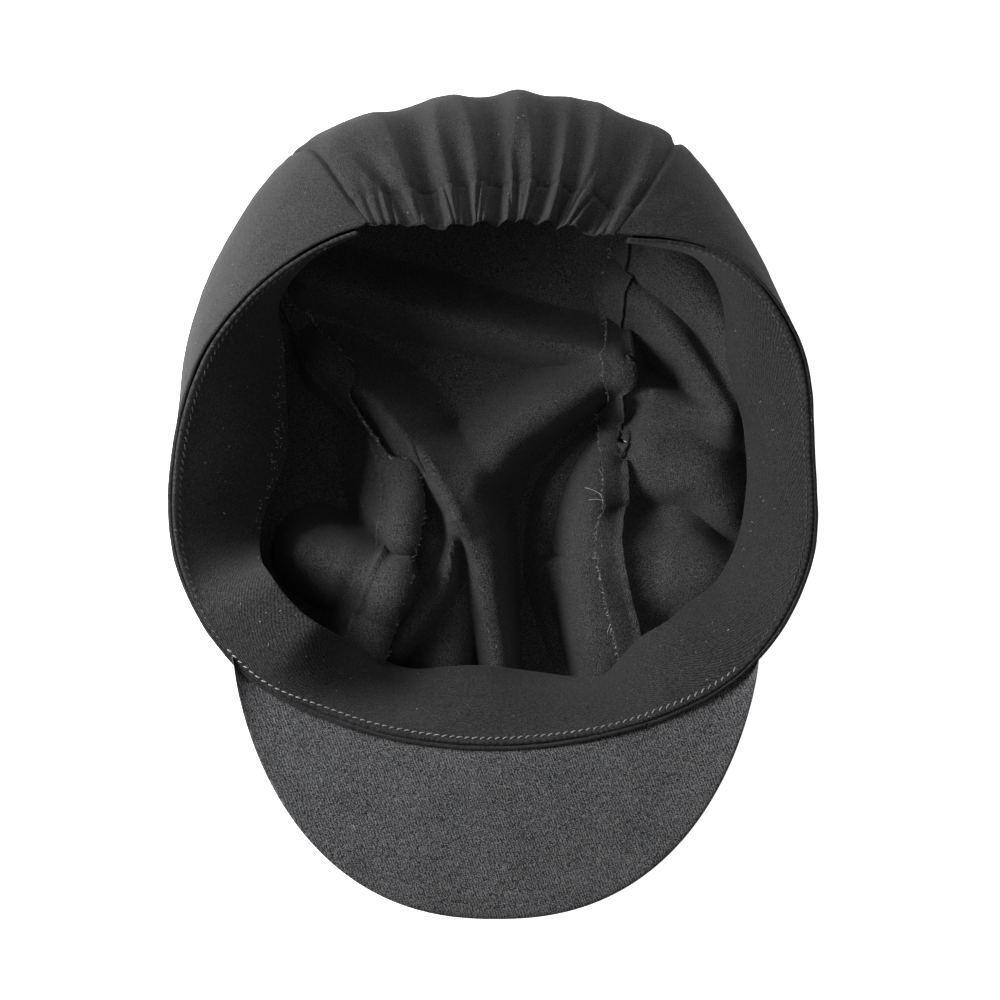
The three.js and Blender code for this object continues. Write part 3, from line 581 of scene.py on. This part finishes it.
# Steps of the rounded edge between a sheet's two faces: share of the way, and bulge in thicknesses.
EDGE_STEPS = ((0.12, 0.26), (0.5, 0.42), (0.88, 0.26))


def sheet(name, under, over, material, uv=None, lining=None):
    """A closed sheet of cloth from two faces over the same grid, with rounded edges."""
    rows, columns = under.shape[:2]
    uv = spread_uv(under) if uv is None else uv
    vertices = [under.reshape(-1, 3), over.reshape(-1, 3)]
    uvs = [uv.reshape(-1, 2), uv.reshape(-1, 2)]
    layer = rows * columns
    ids = np.arange(layer).reshape(rows, columns)
    a, b, c, d = ids[:-1, :-1].ravel(), ids[1:, :-1].ravel(), ids[1:, 1:].ravel(), ids[:-1, 1:].ravel()
    faces = np.stack([a, b, c, d], 1).tolist() + (np.stack([d, c, b, a], 1) + layer).tolist()
    ring = np.concatenate([ids[0, :-1], ids[:-1, -1], ids[-1, :0:-1], ids[:0:-1, 0]])
    inner = np.concatenate([ids[1, :-1], ids[:-1, -2], ids[-2, :0:-1], ids[:0:-1, 1]])
    low, high = vertices[0][ring], vertices[1][ring]
    out = low - vertices[0][inner]
    out /= np.maximum(np.linalg.norm(out, axis=1, keepdims=True), 1e-6)
    thickness = np.linalg.norm(high - low, axis=1, keepdims=True)
    loops = [ring]
    count = 2 * layer
    for share, bulge in EDGE_STEPS:
        vertices.append(lerp(low, high, share) + out * thickness * bulge)
        uvs.append(uvs[0][ring])
        loops.append(np.arange(count, count + len(ring)))
        count += len(ring)
    loops.append(ring + layer)
    for first, second in zip(loops, loops[1:]):
        faces += np.stack([first, np.roll(first, -1), np.roll(second, -1), second], 1).tolist()
    made = make_object(name, np.concatenate(vertices), faces, np.concatenate(uvs), material, CLOTH_SHARP_EDGE)
    if lining:
        made.data.materials.append(lining)
        sides = np.zeros(len(faces), np.int32)
        count = (rows - 1) * (columns - 1)
        sides[count:2 * count] = 1
        made.data.polygons.foreach_set("material_index", sides)
    return made


class Nodes:
    """Adds linked shader nodes to a new material."""

    def __init__(self, name):
        self.material = bpy.data.materials.new(name)
        self.material.use_nodes = True
        self.tree = self.material.node_tree
        self.shader = self.tree.nodes["Principled BSDF"]

    def plug(self, inputs, values):
        """Links each named input to another node's output, or sets it to a plain value."""
        for key, value in values.items():
            if isinstance(value, bpy.types.NodeSocket):
                self.tree.links.new(value, inputs[key])
            else:
                inputs[key].default_value = value

    def add(self, kind, values=None, **settings):
        node = self.tree.nodes.new(kind)
        for key, value in settings.items():
            setattr(node, key, value)
        self.plug(node.inputs, values or {})
        return node

    def math(self, operation, a, b=0.0, clamp=False):
        return self.add("ShaderNodeMath", {0: a, 1: b}, operation=operation, use_clamp=clamp).outputs[0]

    def mapped(self, vector, **values):
        return self.add("ShaderNodeMapping", {"Vector": vector, **values}).outputs[0]

    def noise(self, vector, scale, detail=0.0):
        values = {"Vector": vector, "Scale": scale, "Detail": detail}
        return self.add("ShaderNodeTexNoise", values).outputs[0]

    def spread(self, value, low, high):
        """The value stretched, so that low becomes 0 and high becomes 1."""
        return self.add("ShaderNodeMapRange", {0: value, 1: low, 2: high}).outputs[0]

    def mix(self, share, first, second):
        """A colour between two."""
        return self.add("ShaderNodeMix", {"Factor": share, 6: first, 7: second}, data_type="RGBA").outputs[2]

    def bump(self, height, distance, strength=1.0):
        values = {"Height": height, "Strength": strength, "Distance": distance}
        return self.add("ShaderNodeBump", values).outputs[0]

    def finish(self, values):
        self.plug(self.shader.inputs, values)
        return self.material


# The weave. Lengths are in decimetres, as the cloth coordinates are, and scales are in features to a
# decimetre. A range gives the noise values that become 0 and 1.
TWILL_PITCH = 0.0079
TWILL_TURN = 20
WOBBLE = 1.6
WOBBLE_SCALE = 14.0
WOBBLE_DETAIL = 2.0
FLOAT_LENGTH = 0.021
FLOAT_SCALE = 1.4
FLOAT_RANGE = (0.32, 0.68)
FLOAT_SHARE = 0.6
GRAIN_LENGTH = 0.0032
GRAIN_RANGE = (0.3, 0.7)
MOTTLE = 0.3
MOTTLE_SCALE = 7.0
MOTTLE_DETAIL = 4.0
TONE_SPAN = 1.3
TONE_BASE = 0.2
FLECK_LENGTH = 0.0062
FLECK_RANGE = (0.84, 0.9)
FLECK_COLOUR = (0.22, 0.22, 0.22, 1)
CLOTH_FINISH = {
    "Roughness": 0.9, "Specular IOR Level": 0.2,
    "Sheen Weight": 0.08, "Sheen Roughness": 0.5, "Sheen Tint": (0.5, 0.5, 0.53, 1),
}

# How far a bump stands up, in metres
WEAVE_RELIEF = 0.00012
THREAD_RELIEF = 0.00008
THREAD_RELIEF_STRENGTH = 0.6


def weave_height(n, cloth, body, turn, lines):
    """Fine diagonal lines broken into short floats, with grain. lines is the share of the lines in it."""
    turned = n.mapped(cloth, Rotation=(0, 0, math.radians(-turn)))
    parts = n.add("ShaderNodeSeparateXYZ", {0: turned})
    wobble = n.math("MULTIPLY", n.noise(cloth, WOBBLE_SCALE, WOBBLE_DETAIL), WOBBLE)
    line = n.math("ADD", n.math("MULTIPLY", parts.outputs[0], 1 / TWILL_PITCH), wobble)
    wave = n.math("SINE", n.math("MULTIPLY", line, 2 * math.pi))
    wave = n.math("ADD", n.math("MULTIPLY", wave, 0.5), 0.5)
    stretched = n.mapped(turned, Scale=(1 / TWILL_PITCH, 1 / FLOAT_LENGTH, 1))
    floats = n.spread(n.noise(stretched, FLOAT_SCALE), *FLOAT_RANGE)
    grain = n.spread(n.noise(body, 1 / GRAIN_LENGTH), *GRAIN_RANGE)
    height = n.math("ADD", n.math("MULTIPLY", wave, lines), n.math("MULTIPLY", floats, lines * FLOAT_SHARE))
    return n.math("ADD", height, n.math("MULTIPLY", grain, 1 - lines * (1 + FLOAT_SHARE)))


def twill(name, dark, light, contrast, lines, turn=TWILL_TURN):
    """Cotton twill in two tones, with mottling, pale flecks and a sheen."""
    n = Nodes(name)
    cloth = n.add("ShaderNodeUVMap", uv_map="weave").outputs[0]
    metres = n.add("ShaderNodeTexCoord").outputs["Object"]
    body = n.mapped(metres, Scale=(DECIMETRES_IN_METRE,) * 3)
    height = weave_height(n, cloth, body, turn, lines)
    tone = n.math("MULTIPLY", n.math("SUBTRACT", height, 0.5), TONE_SPAN * contrast)
    tone = n.math("ADD", tone, n.math("MULTIPLY", n.noise(body, MOTTLE_SCALE, MOTTLE_DETAIL), MOTTLE))
    tone = n.math("ADD", tone, TONE_BASE, clamp=True)
    fleck = n.spread(n.noise(body, 1 / FLECK_LENGTH), *FLECK_RANGE)
    colour = n.mix(fleck, n.mix(tone, (*dark, 1), (*light, 1)), FLECK_COLOUR)
    return n.finish({"Base Color": colour, "Normal": n.bump(height, WEAVE_RELIEF), **CLOTH_FINISH})


# The strands of spun thread: their scale in features to a metre, and the shades between which they vary.
STRAND_SCALE = 2600.0
STRAND_DETAIL = 1.0
STRAND_SHADES = (0.6, 1.4)
THREAD_ROUGHNESS = 0.5


def grey(shade):
    return (shade, shade, shade, 1)


def thread(name, shade, sheen=0.3):
    """Spun sewing thread in a shade of grey."""
    n = Nodes(name)
    place = n.add("ShaderNodeTexCoord").outputs["Object"]
    strands = n.noise(place, STRAND_SCALE, STRAND_DETAIL)
    colour = n.mix(strands, *[grey(shade * share) for share in STRAND_SHADES])
    bump = n.bump(strands, THREAD_RELIEF, THREAD_RELIEF_STRENGTH)
    return n.finish({
        "Base Color": colour, "Normal": bump, "Roughness": THREAD_ROUGHNESS, "Sheen Weight": sheen})


# The same charcoal cotton is on every piece below, with its tones set apart piece by piece as painted light
# and shade.
crown_twill = twill("crown_twill", (0.006, 0.006, 0.006), (0.035, 0.035, 0.036), contrast=0.9, lines=0.14)
# The inner faces are the same cotton as the outer face in paler tones; the difference is painted light inside
# the crown and painted shade outside.
inside_twill_painted_light = twill("inside_twill_painted_light", (0.008, 0.008, 0.008), (0.07, 0.07, 0.071), contrast=0.85, lines=0.12)
# The peak is the same cotton in far paler tones, which paint light on the peak.
peak_twill = twill("peak_twill", (0.008, 0.008, 0.0085), (0.138, 0.139, 0.144), contrast=1.15, lines=0.24)
# The facing is the same cotton in darker tones, which paint shade on the facing.
band_twill_painted_shade = twill(
    "band_twill_painted_shade", (0.004, 0.004, 0.004), (0.035, 0.035, 0.036), contrast=1.3, lines=0.3, turn=65)
seam_thread = thread("seam_thread", 0.2)
# Dark thread for the inside seams' stitches, and as painted shade for the sides of the pale rim topstitch.
dark_thread_and_painted_shade = thread("dark_thread_and_painted_shade", 0.025, sheen=0.04)
# Pale fibre for lint and loose threads, and along cut edges, where its paleness paints a highlight.
pale_fibre_and_painted_highlight = thread("pale_fibre_and_painted_highlight", 0.3)


def dress(piece, *nodes, slot="cotton_twill"):
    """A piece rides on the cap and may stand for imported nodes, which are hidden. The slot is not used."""
    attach(piece, "root")
    if nodes:
        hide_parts(*nodes)
    return piece


def centre_panel():
    """The strip from the front rim over the top to the casing."""
    along, across = grid(CENTRE_GRID, (-1, CASING_AT), (-1, 1))
    p, q = centre_to_disk(across, along, GAP / 2)
    under, over, _ = crown_faces(p, q)
    piece = sheet("crown_centre_cloth", under, over, crown_twill, lining=inside_twill_painted_light)
    return dress(piece, "crown_centre_panel")


def side_panel(side):
    """A side panel spans from its seam to the rim, and its ends close to a point."""
    sign = -1.0 if side == "left" else 1.0
    along, across = grid(SIDE_GRID, (-1, 1), (0, 1))
    across = across ** SIDE_COLUMN_SPREAD
    seam_p, seam_q = centre_to_disk(np.full(along.shape, sign), along, -GAP / 2)
    turn = np.arctan2(seam_q, np.abs(seam_p))
    angle = lerp(turn[:1], turn[-1:], (along + 1) / 2)
    p, q = lerp(seam_p, sign * np.cos(angle), across), lerp(seam_q, np.sin(angle), across)
    if side == "left":
        p, q = p[:, ::-1], q[:, ::-1]
    under, over, _ = crown_faces(p, q)
    piece = sheet(f"crown_{side}_cloth", under, over, crown_twill, lining=inside_twill_painted_light)
    return dress(piece, f"crown_{side}_panel")


def casing():
    """The gathered casing that holds the elastic, at the back rim between the two seams."""
    along, across = grid(CASING_GRID, (CASING_AT, 1), (-CASING_SPAN, CASING_SPAN))
    p, q = centre_to_disk(across, along)
    under, over, _ = crown_faces(p, q, CASING_THICKNESS)
    return dress(sheet("casing_cloth", under, over, crown_twill), "elastic_casing")


# The facing's table is read at this many places and evened out over some of them.
BAND_PLACES = 400
BAND_SOFT_PLACES = 13


def band_fall(angle, key):
    """How far the facing leans in or drops, with the corners between the table's rows rounded."""
    angles = [row["angle"] for row in BAND_FALL]
    fine = np.linspace(angles[0], angles[-1], BAND_PLACES)
    soft = np.interp(fine, angles, [row[key] for row in BAND_FALL])
    kernel = np.hanning(BAND_SOFT_PLACES)
    soft = np.convolve(np.pad(soft, BAND_SOFT_PLACES // 2, mode="edge"), kernel / kernel.sum(), mode="valid")
    return np.interp(angle, fine, soft)


def band_point(angle, down, inset):
    """The facing hangs from the rim and leans into the cap."""
    s = section(angle)
    reach, drop = band_fall(angle, "reach"), band_fall(angle, "drop")
    width = np.hypot(reach, drop)
    start = s["rim"] - CLOTH - GAP
    bow = BAND_BOW * np.sin(np.pi * down)
    r = start - reach * down - (bow + inset) * drop / width
    z = s["rim_height"] - drop * down + (bow + inset) * reach / width
    turn = np.radians(angle)
    return np.stack([r * np.cos(turn), r * np.sin(turn), z], -1)


def band():
    """The facing's strip of cloth."""
    down, angle = grid(BAND_GRID, (1, 0), (BAND_TO, BAND_FROM))
    flat = band_point(angle, down, 0)
    soft = BAND_UNDULATION * noise_field(flat, BAND_UNDULATION_LENGTH, SEEDS["band_undulation"])
    soft = soft + BAND_CRINKLE * noise_field(flat, CRINKLE_LENGTH, SEEDS["band_crinkle"])
    under = band_point(angle, down, soft)
    over = band_point(angle, down, soft + CLOTH)
    return dress(sheet("band_cloth", under, over, band_twill_painted_shade), "band")


def peak_point(s, t, above):
    """From the root (t = 0), tucked a little under the crown's edge, to the rounded outline (t = 1)."""
    angle = lerp(180 + PEAK_END_ANGLE, 360 - PEAK_END_ANGLE, s)
    root = section(angle)["rim"] - PEAK_TUCK
    turn = np.radians(lerp(180 - PEAK_END_TURN, PEAK_END_TURN, s))
    power = 2 / PEAK_ROUNDNESS
    edge_x = PEAK_HALF_WIDTH * np.sign(np.cos(turn)) * np.abs(np.cos(turn)) ** power
    edge_y = lerp(PEAK_WIDEST_Y, PEAK_REACH_Y, np.sin(turn) ** power)
    x = lerp(root * np.cos(np.radians(angle)), edge_x + PEAK_SHIFT, t)
    y = lerp(root * np.sin(np.radians(angle)), edge_y, t)
    arch = PEAK_ARCH * (x / PEAK_HALF_WIDTH) ** 2
    front = section(np.array([FRONT_ANGLE]))["rim_height"]
    roll = PEAK_ROOT_ROLL * np.clip(1 - t / PEAK_ROOT_SHARE, 0, 1) ** 2
    return np.stack([x, y, front - PEAK_THICKNESS + arch + PEAK_RISE * t + above - roll * (above > 0)], -1)


def peak():
    """The peak's plate. Its rows are closest together at the root."""
    t, s = grid(PEAK_GRID, (1, 0), (0, 1))
    t = t ** PEAK_ROW_SPREAD
    under = peak_point(s, t, 0 * s)
    over = peak_point(s, t, PEAK_THICKNESS + 0 * s)
    uv = over[..., :2] / MM_IN_DECIMETRE
    return dress(sheet("peak_cloth", under, over, peak_twill, uv), "peak", slot="peak_twill")


# The seam allowances lie on the inside of the centre panel, with their raw edges lifted.
ALLOWANCE_FROM = -0.85
ALLOWANCE_TO = 0.76
ALLOWANCE_WIDTH = 6.8
ALLOWANCE_THICKNESS = 0.9
ALLOWANCE_GAP = 0.3
ALLOWANCE_LIFT = {"left": 3, "right": 0.7}
ALLOWANCE_CURL = 1.3
ALLOWANCE_WAVE = 0.7
ALLOWANCE_WAVE_TURNS = (23, 9)


def allowance_faces(side):
    """The two faces of a seam allowance and the direction inwards, from the seam to the raw edge."""
    sign = -1.0 if side == "left" else 1.0
    along, inward = grid(ALLOWANCE_GRID, (ALLOWANCE_FROM, ALLOWANCE_TO), (0, 1))
    p, q = centre_to_disk(np.full(along.shape, sign), along, GAP + ALLOWANCE_WIDTH * inward)
    _, inner, direction = crown_faces(p, q)
    quick, slow = ALLOWANCE_WAVE_TURNS
    wave = ALLOWANCE_WAVE * np.sin(along * quick) * np.sin(along * slow + 1) * inward
    lift = (ALLOWANCE_GAP + ALLOWANCE_LIFT[side] * inward ** ALLOWANCE_CURL + wave)[..., None]
    under = inner + direction * lift
    return under, under + direction * ALLOWANCE_THICKNESS, direction


def allowance(side):
    under, over, _ = allowance_faces(side)
    if side == "right":
        under, over = under[:, ::-1], over[:, ::-1]
    piece = sheet(f"{side}_allowance_cloth", under, over, inside_twill_painted_light)
    return dress(piece, f"{side}_seam_allowance")


def even_places(points, pitch):
    """Places at even steps along a line of points: their row numbers in it."""
    length = np.concatenate([[0], np.cumsum(np.linalg.norm(np.diff(points, axis=0), axis=1))])
    return np.interp(np.arange(pitch, length[-1] - pitch, pitch), length, np.arange(len(points)))


def at_rows(values, rows):
    """Values between the rows of a list."""
    low = np.floor(rows).astype(int)
    share = (rows - low)[:, None]
    return lerp(values[low], values[low + 1], share)


# A tube's rings are turned from the upright, or from +X where the tube itself is about upright.
UPRIGHT_FROM = 0.8


def tubes(name, lines, radii, material, sides=5):
    """Closed tubes along lines of points: lines is (count, points, 3), radii is (count, points)."""
    count, points = lines.shape[:2]
    tangent = normalised(np.gradient(lines, axis=1))
    helper = np.where(np.abs(tangent[..., 2:]) > UPRIGHT_FROM, (1.0, 0.0, 0.0), (0.0, 0.0, 1.0))
    across = normalised(np.cross(tangent, helper))
    up = np.cross(across, tangent)
    turn = 2 * np.pi * np.arange(sides) / sides
    ring = across[:, :, None] * np.cos(turn)[:, None] + up[:, :, None] * np.sin(turn)[:, None]
    vertices = lines[:, :, None] + ring * radii[..., None, None]
    ids = np.arange(count * points * sides).reshape(count, points, sides)
    a, b = ids[:, :-1], ids[:, 1:]
    walls = np.stack([a, np.roll(a, -1, 2), np.roll(b, -1, 2), b], -1).reshape(-1, 4).tolist()
    ends = ids[:, 0, ::-1].tolist() + ids[:, -1].tolist()
    made = make_object(name, vertices.reshape(-1, 3), walls + ends, None, material, THREAD_SHARP_EDGE)
    return dress(made)


# Share of a stitch's length, its height and its thickness at each of its rings.
STITCH_RINGS = (
    (-0.5, -0.5, 0.5), (-0.38, 0.5, 0.9), (-0.15, 1, 1),
    (0.15, 1, 1), (0.38, 0.5, 0.9), (0.5, -0.5, 0.5),
)
STITCH_TURN_SPREAD = 5
STITCH_LENGTH_SPREAD = (0.88, 1.08)
TOPSTITCH = dict(pitch=2.3, length=1.7, radius=0.2, slant=-24)
SEAM_STITCH = dict(pitch=2.6, length=1.5, radius=0.13, slant=0)


def stitches(name, points, side, out, kind, material, seed):
    """Stitches along a line on cloth, with the directions across the line and out of the cloth."""
    length, radius = kind["length"], kind["radius"]
    rows = even_places(points, kind["pitch"])
    place, side, out = at_rows(points, rows), at_rows(side, rows), at_rows(out, rows)
    along = normalised(np.cross(out, side))
    rng = np.random.default_rng(seed)
    turn = np.radians(kind["slant"] + rng.normal(0, STITCH_TURN_SPREAD, len(place)))[:, None]
    along = along * np.cos(turn) + side * np.sin(turn)
    size = rng.uniform(*STITCH_LENGTH_SPREAD, len(place))[:, None]
    lines = np.stack([place + along * share * length * size + out * height * radius
                      for share, height, _ in STITCH_RINGS], 1)
    radii = np.array([[thick * radius for _, _, thick in STITCH_RINGS]] * len(place))
    return tubes(name, lines, radii, material)


# The row that sews the facing to the rim is pale thread along the peak. On both sides the same row is drawn
# in dark thread, a painted shade.
TOPSTITCH_DOWN = 0.035
TOPSTITCH_DOWN_STEP = 0.02
TOPSTITCH_PLACES = 900
TOPSTITCH_RUNS = (
    ("front_topstitch", 216, 320, seam_thread),
    ("left_topstitch", 128, 216, dark_thread_and_painted_shade),
    ("right_topstitch", 320, 411, dark_thread_and_painted_shade),
)


def rim_topstitch():
    for name, start, end, material in TOPSTITCH_RUNS:
        angle = np.linspace(start, end, TOPSTITCH_PLACES)
        points = band_point(angle, TOPSTITCH_DOWN, CLOTH)
        side = normalised(band_point(angle, TOPSTITCH_DOWN + TOPSTITCH_DOWN_STEP, CLOTH) - points)
        out = normalised(band_point(angle, TOPSTITCH_DOWN, CLOTH + 1) - points)
        stitches(name, points, side, out, TOPSTITCH, material, SEEDS["topstitch"])


# Short fibres that stand out of a cut edge, pale, so that they paint a highlight along it. Their lengths
# follow a gamma curve above the least length.
FRAY_COUNT = 700
FIBRE_LENGTH = dict(shape=2.2, scale=0.33, least=0.25)
FIBRE_HEADING = dict(out=0.7, along=1.1, up=0.6)
FIBRE_BEND = dict(along=0.45, up=0.3)
FIBRE_ROOT = 0.2
FIBRE_RADIUS = (0.06, 0.11)
FIBRE_TAPER = (1, 0.95, 0.8, 0.5)


def fray(name, edge, outward, up, seed):
    """Short loose fibres along a cut edge of cloth, pale to paint the edge's highlight."""
    rng = np.random.default_rng(seed)
    rows = rng.uniform(0, len(edge) - 1.001, FRAY_COUNT)
    start = at_rows(edge, rows)
    run = normalised(np.gradient(edge, axis=0))
    out, rise, run = at_rows(outward, rows), at_rows(up, rows), at_rows(run, rows)
    spread = rng.normal(0, 1, (3, FRAY_COUNT, 1))
    length = rng.gamma(FIBRE_LENGTH["shape"], FIBRE_LENGTH["scale"], (FRAY_COUNT, 1)) + FIBRE_LENGTH["least"]
    heading = out * FIBRE_HEADING["out"] + run * spread[0] * FIBRE_HEADING["along"]
    heading = normalised(heading + rise * spread[1] * FIBRE_HEADING["up"])
    bend = run * spread[2] * FIBRE_BEND["along"] + rise * spread[0] * FIBRE_BEND["up"]
    share = np.linspace(0, 1, len(FIBRE_TAPER))[None, :, None]
    lines = (start - out * FIBRE_ROOT)[:, None] + (heading * length)[:, None] * share
    lines = lines + (bend * length)[:, None] * share ** 2
    radii = rng.uniform(*FIBRE_RADIUS, (FRAY_COUNT, 1)) * np.array(FIBRE_TAPER)
    tubes(name, lines, radii, pale_fibre_and_painted_highlight, sides=3)


# The rows of an allowance's grid where its stitches start and end
SEWN_ROWS = slice(12, -12)
SEWN_COLUMN = 1


def inner_seam(side):
    """Stitches along a seam's allowance and the fray of its cut edge, which lies at the last column."""
    seed = SEEDS[f"{side}_seam"]
    under, over, direction = allowance_faces(side)
    across = normalised(over[:, 1] - over[:, 0])[SEWN_ROWS]
    sewn = over[SEWN_ROWS, SEWN_COLUMN]
    out = direction[SEWN_ROWS, SEWN_COLUMN]
    stitches(f"{side}_seam_stitches", sewn, across, out, SEAM_STITCH, dark_thread_and_painted_shade, seed)
    outward = normalised(over[:, -1] - over[:, -2])
    cut_edge = (under[:, -1] + over[:, -1]) / 2
    fray(f"{side}_fray", cut_edge, outward, direction[:, -1], seed)
    if side == "right":
        loose_threads(cut_edge)


# Loose threads that hang from the right seam: where along the cap, which way and how far.
LOOSE_THREADS = (
    dict(y=-14, heading=(-0.85, 0.6, 0.25), length=8.5),
    dict(y=-15, heading=(-0.95, 0.3, 0.3), length=6),
    dict(y=-16, heading=(-0.4, 0.9, 0.3), length=5),
    dict(y=-27, heading=(0.9, -0.3, 0.2), length=4),
)
LOOSE_THREAD_SAG = (0.1, -0.25, -0.2)
LOOSE_THREAD_POINTS = 9
LOOSE_THREAD_RADIUS = 0.1


def loose_threads(edge):
    share = np.linspace(0, 1, LOOSE_THREAD_POINTS)[:, None]
    lines = []
    for loose in LOOSE_THREADS:
        start = edge[np.argmin(np.abs(edge[:, 1] - loose["y"]))]
        heading = normalised(np.array(loose["heading"])) * loose["length"]
        sag = np.array(LOOSE_THREAD_SAG) * loose["length"]
        lines.append(start + heading * share + sag * share ** 2)
    lines = np.array(lines)
    tubes("loose_threads", lines, np.full(lines.shape[:2], LOOSE_THREAD_RADIUS), pale_fibre_and_painted_highlight, sides=4)


# Pale lint on the facing: most of it near the free edge on the left, by a middle and a spread, and some
# of it anywhere between two ends. down is the share of the way from the rim to the free edge.
LINT_ON_LEFT = dict(count=70, angle=(176, 13), down=(0.9, 0.04))
LINT_ANYWHERE = dict(count=30, angle=(150, 390), down=(0.1, 0.95))
LINT_DOWN_LIMITS = (0.1, 0.97)
LINT_LENGTH = dict(shape=2, scale=0.16, least=0.12)
LINT_HEIGHT = 0.45
LINT_TILT = 0.4
LINT_RADIUS = (0.06, 0.12)
LINT_TAPER = (0.8, 1, 0.8)


def lint():
    rng = np.random.default_rng(SEEDS["lint"])
    count = LINT_ON_LEFT["count"] + LINT_ANYWHERE["count"]

    def places(key):
        left = rng.normal(*LINT_ON_LEFT[key], LINT_ON_LEFT["count"])
        return np.concatenate([left, rng.uniform(*LINT_ANYWHERE[key], LINT_ANYWHERE["count"])])

    angle = places("angle")
    down = np.clip(places("down"), *LINT_DOWN_LIMITS)
    place = band_point(angle, down, CLOTH + LINT_HEIGHT)
    turn = rng.uniform(0, 2 * np.pi, count)
    length = rng.gamma(LINT_LENGTH["shape"], LINT_LENGTH["scale"], count) + LINT_LENGTH["least"]
    heading = np.stack([np.cos(turn), np.sin(turn), rng.normal(0, LINT_TILT, count)], -1) * length[:, None]
    share = np.linspace(-0.5, 0.5, len(LINT_TAPER))[None, :, None]
    lines = place[:, None] + heading[:, None] * share
    radii = rng.uniform(*LINT_RADIUS, (count, 1)) * np.array(LINT_TAPER)
    tubes("lint", lines, radii, pale_fibre_and_painted_highlight, sides=3)


# The white table glows a little, so that the cap's shadow on it stays pale.
TABLE_SIZE = 6
TABLE_FINISH = {
    "Base Color": (0.85, 0.85, 0.85, 1), "Roughness": 0.9,
    "Emission Color": (1, 1, 1, 1), "Emission Strength": 0.92,
}


def floor():
    bpy.ops.mesh.primitive_plane_add(size=TABLE_SIZE, location=(0, 0, 0))
    table = bpy.context.object
    table.name = "table"
    table.data.materials.append(Nodes("white_table").finish(TABLE_FINISH))


# Lamps are in metres and watts, and aim at the middle of the cap.
AIM_HEIGHT = 0.06
LAMPS = (
    dict(name="key_softbox", azimuth=168, elevation=32, distance=0.33, size=0.17, energy=2.6),
    dict(name="back_softbox", azimuth=86, elevation=24, distance=0.5, size=0.2, energy=0.9),
    dict(name="top_fill", azimuth=270, elevation=89, distance=0.7, size=0.4, energy=0.45),
)
SKY_STRENGTH = 0.24


def lamp(name, azimuth, elevation, distance, size, energy):
    """A square soft lamp that looks at the cap from an azimuth and elevation in degrees."""
    data = bpy.data.lights.new(name, "AREA")
    data.energy = energy
    data.size = size
    made = bpy.data.objects.new(name, data)
    turn, tilt = math.radians(azimuth), math.radians(elevation)
    away = Vector((math.cos(tilt) * math.cos(turn), math.cos(tilt) * math.sin(turn), math.sin(tilt)))
    made.location = away * distance + Vector((0, 0, AIM_HEIGHT))
    made.rotation_euler = away.to_track_quat("Z", "Y").to_euler()
    bpy.context.collection.objects.link(made)


def studio():
    """A broad soft light from the left, a weak one from behind on the right and a faint fill from above."""
    for settings in LAMPS:
        lamp(**settings)
    world = bpy.data.worlds.new("studio")
    world.use_nodes = True
    background = world.node_tree.nodes["Background"]
    background.inputs["Color"].default_value = (1, 1, 1, 1)
    background.inputs["Strength"].default_value = SKY_STRENGTH
    bpy.context.scene.world = world
    bpy.context.scene.view_settings.view_transform = "Standard"


# The camera looks straight down into the opening, with the photograph's frame.
CAMERA_PLACE = (2.2, -14.9, 784)
RIM_PLANE = 84
PIXELS_PER_MM = 3.35
FRAME_PIXELS = 1000
SENSOR = 36


def camera():
    data = bpy.data.cameras.new("camera")
    data.sensor_fit = "HORIZONTAL"
    data.sensor_width = SENSOR
    data.lens = SENSOR * (CAMERA_PLACE[2] - RIM_PLANE) * PIXELS_PER_MM / FRAME_PIXELS
    made = bpy.data.objects.new("camera", data)
    made.location = [c * MM for c in CAMERA_PLACE]
    bpy.context.collection.objects.link(made)
    bpy.context.scene.camera = made


centre_panel()
side_panel("left")
side_panel("right")
casing()
band()
peak()
allowance("left")
allowance("right")
rim_topstitch()
inner_seam("left")
inner_seam("right")
lint()

floor()
studio()
camera()
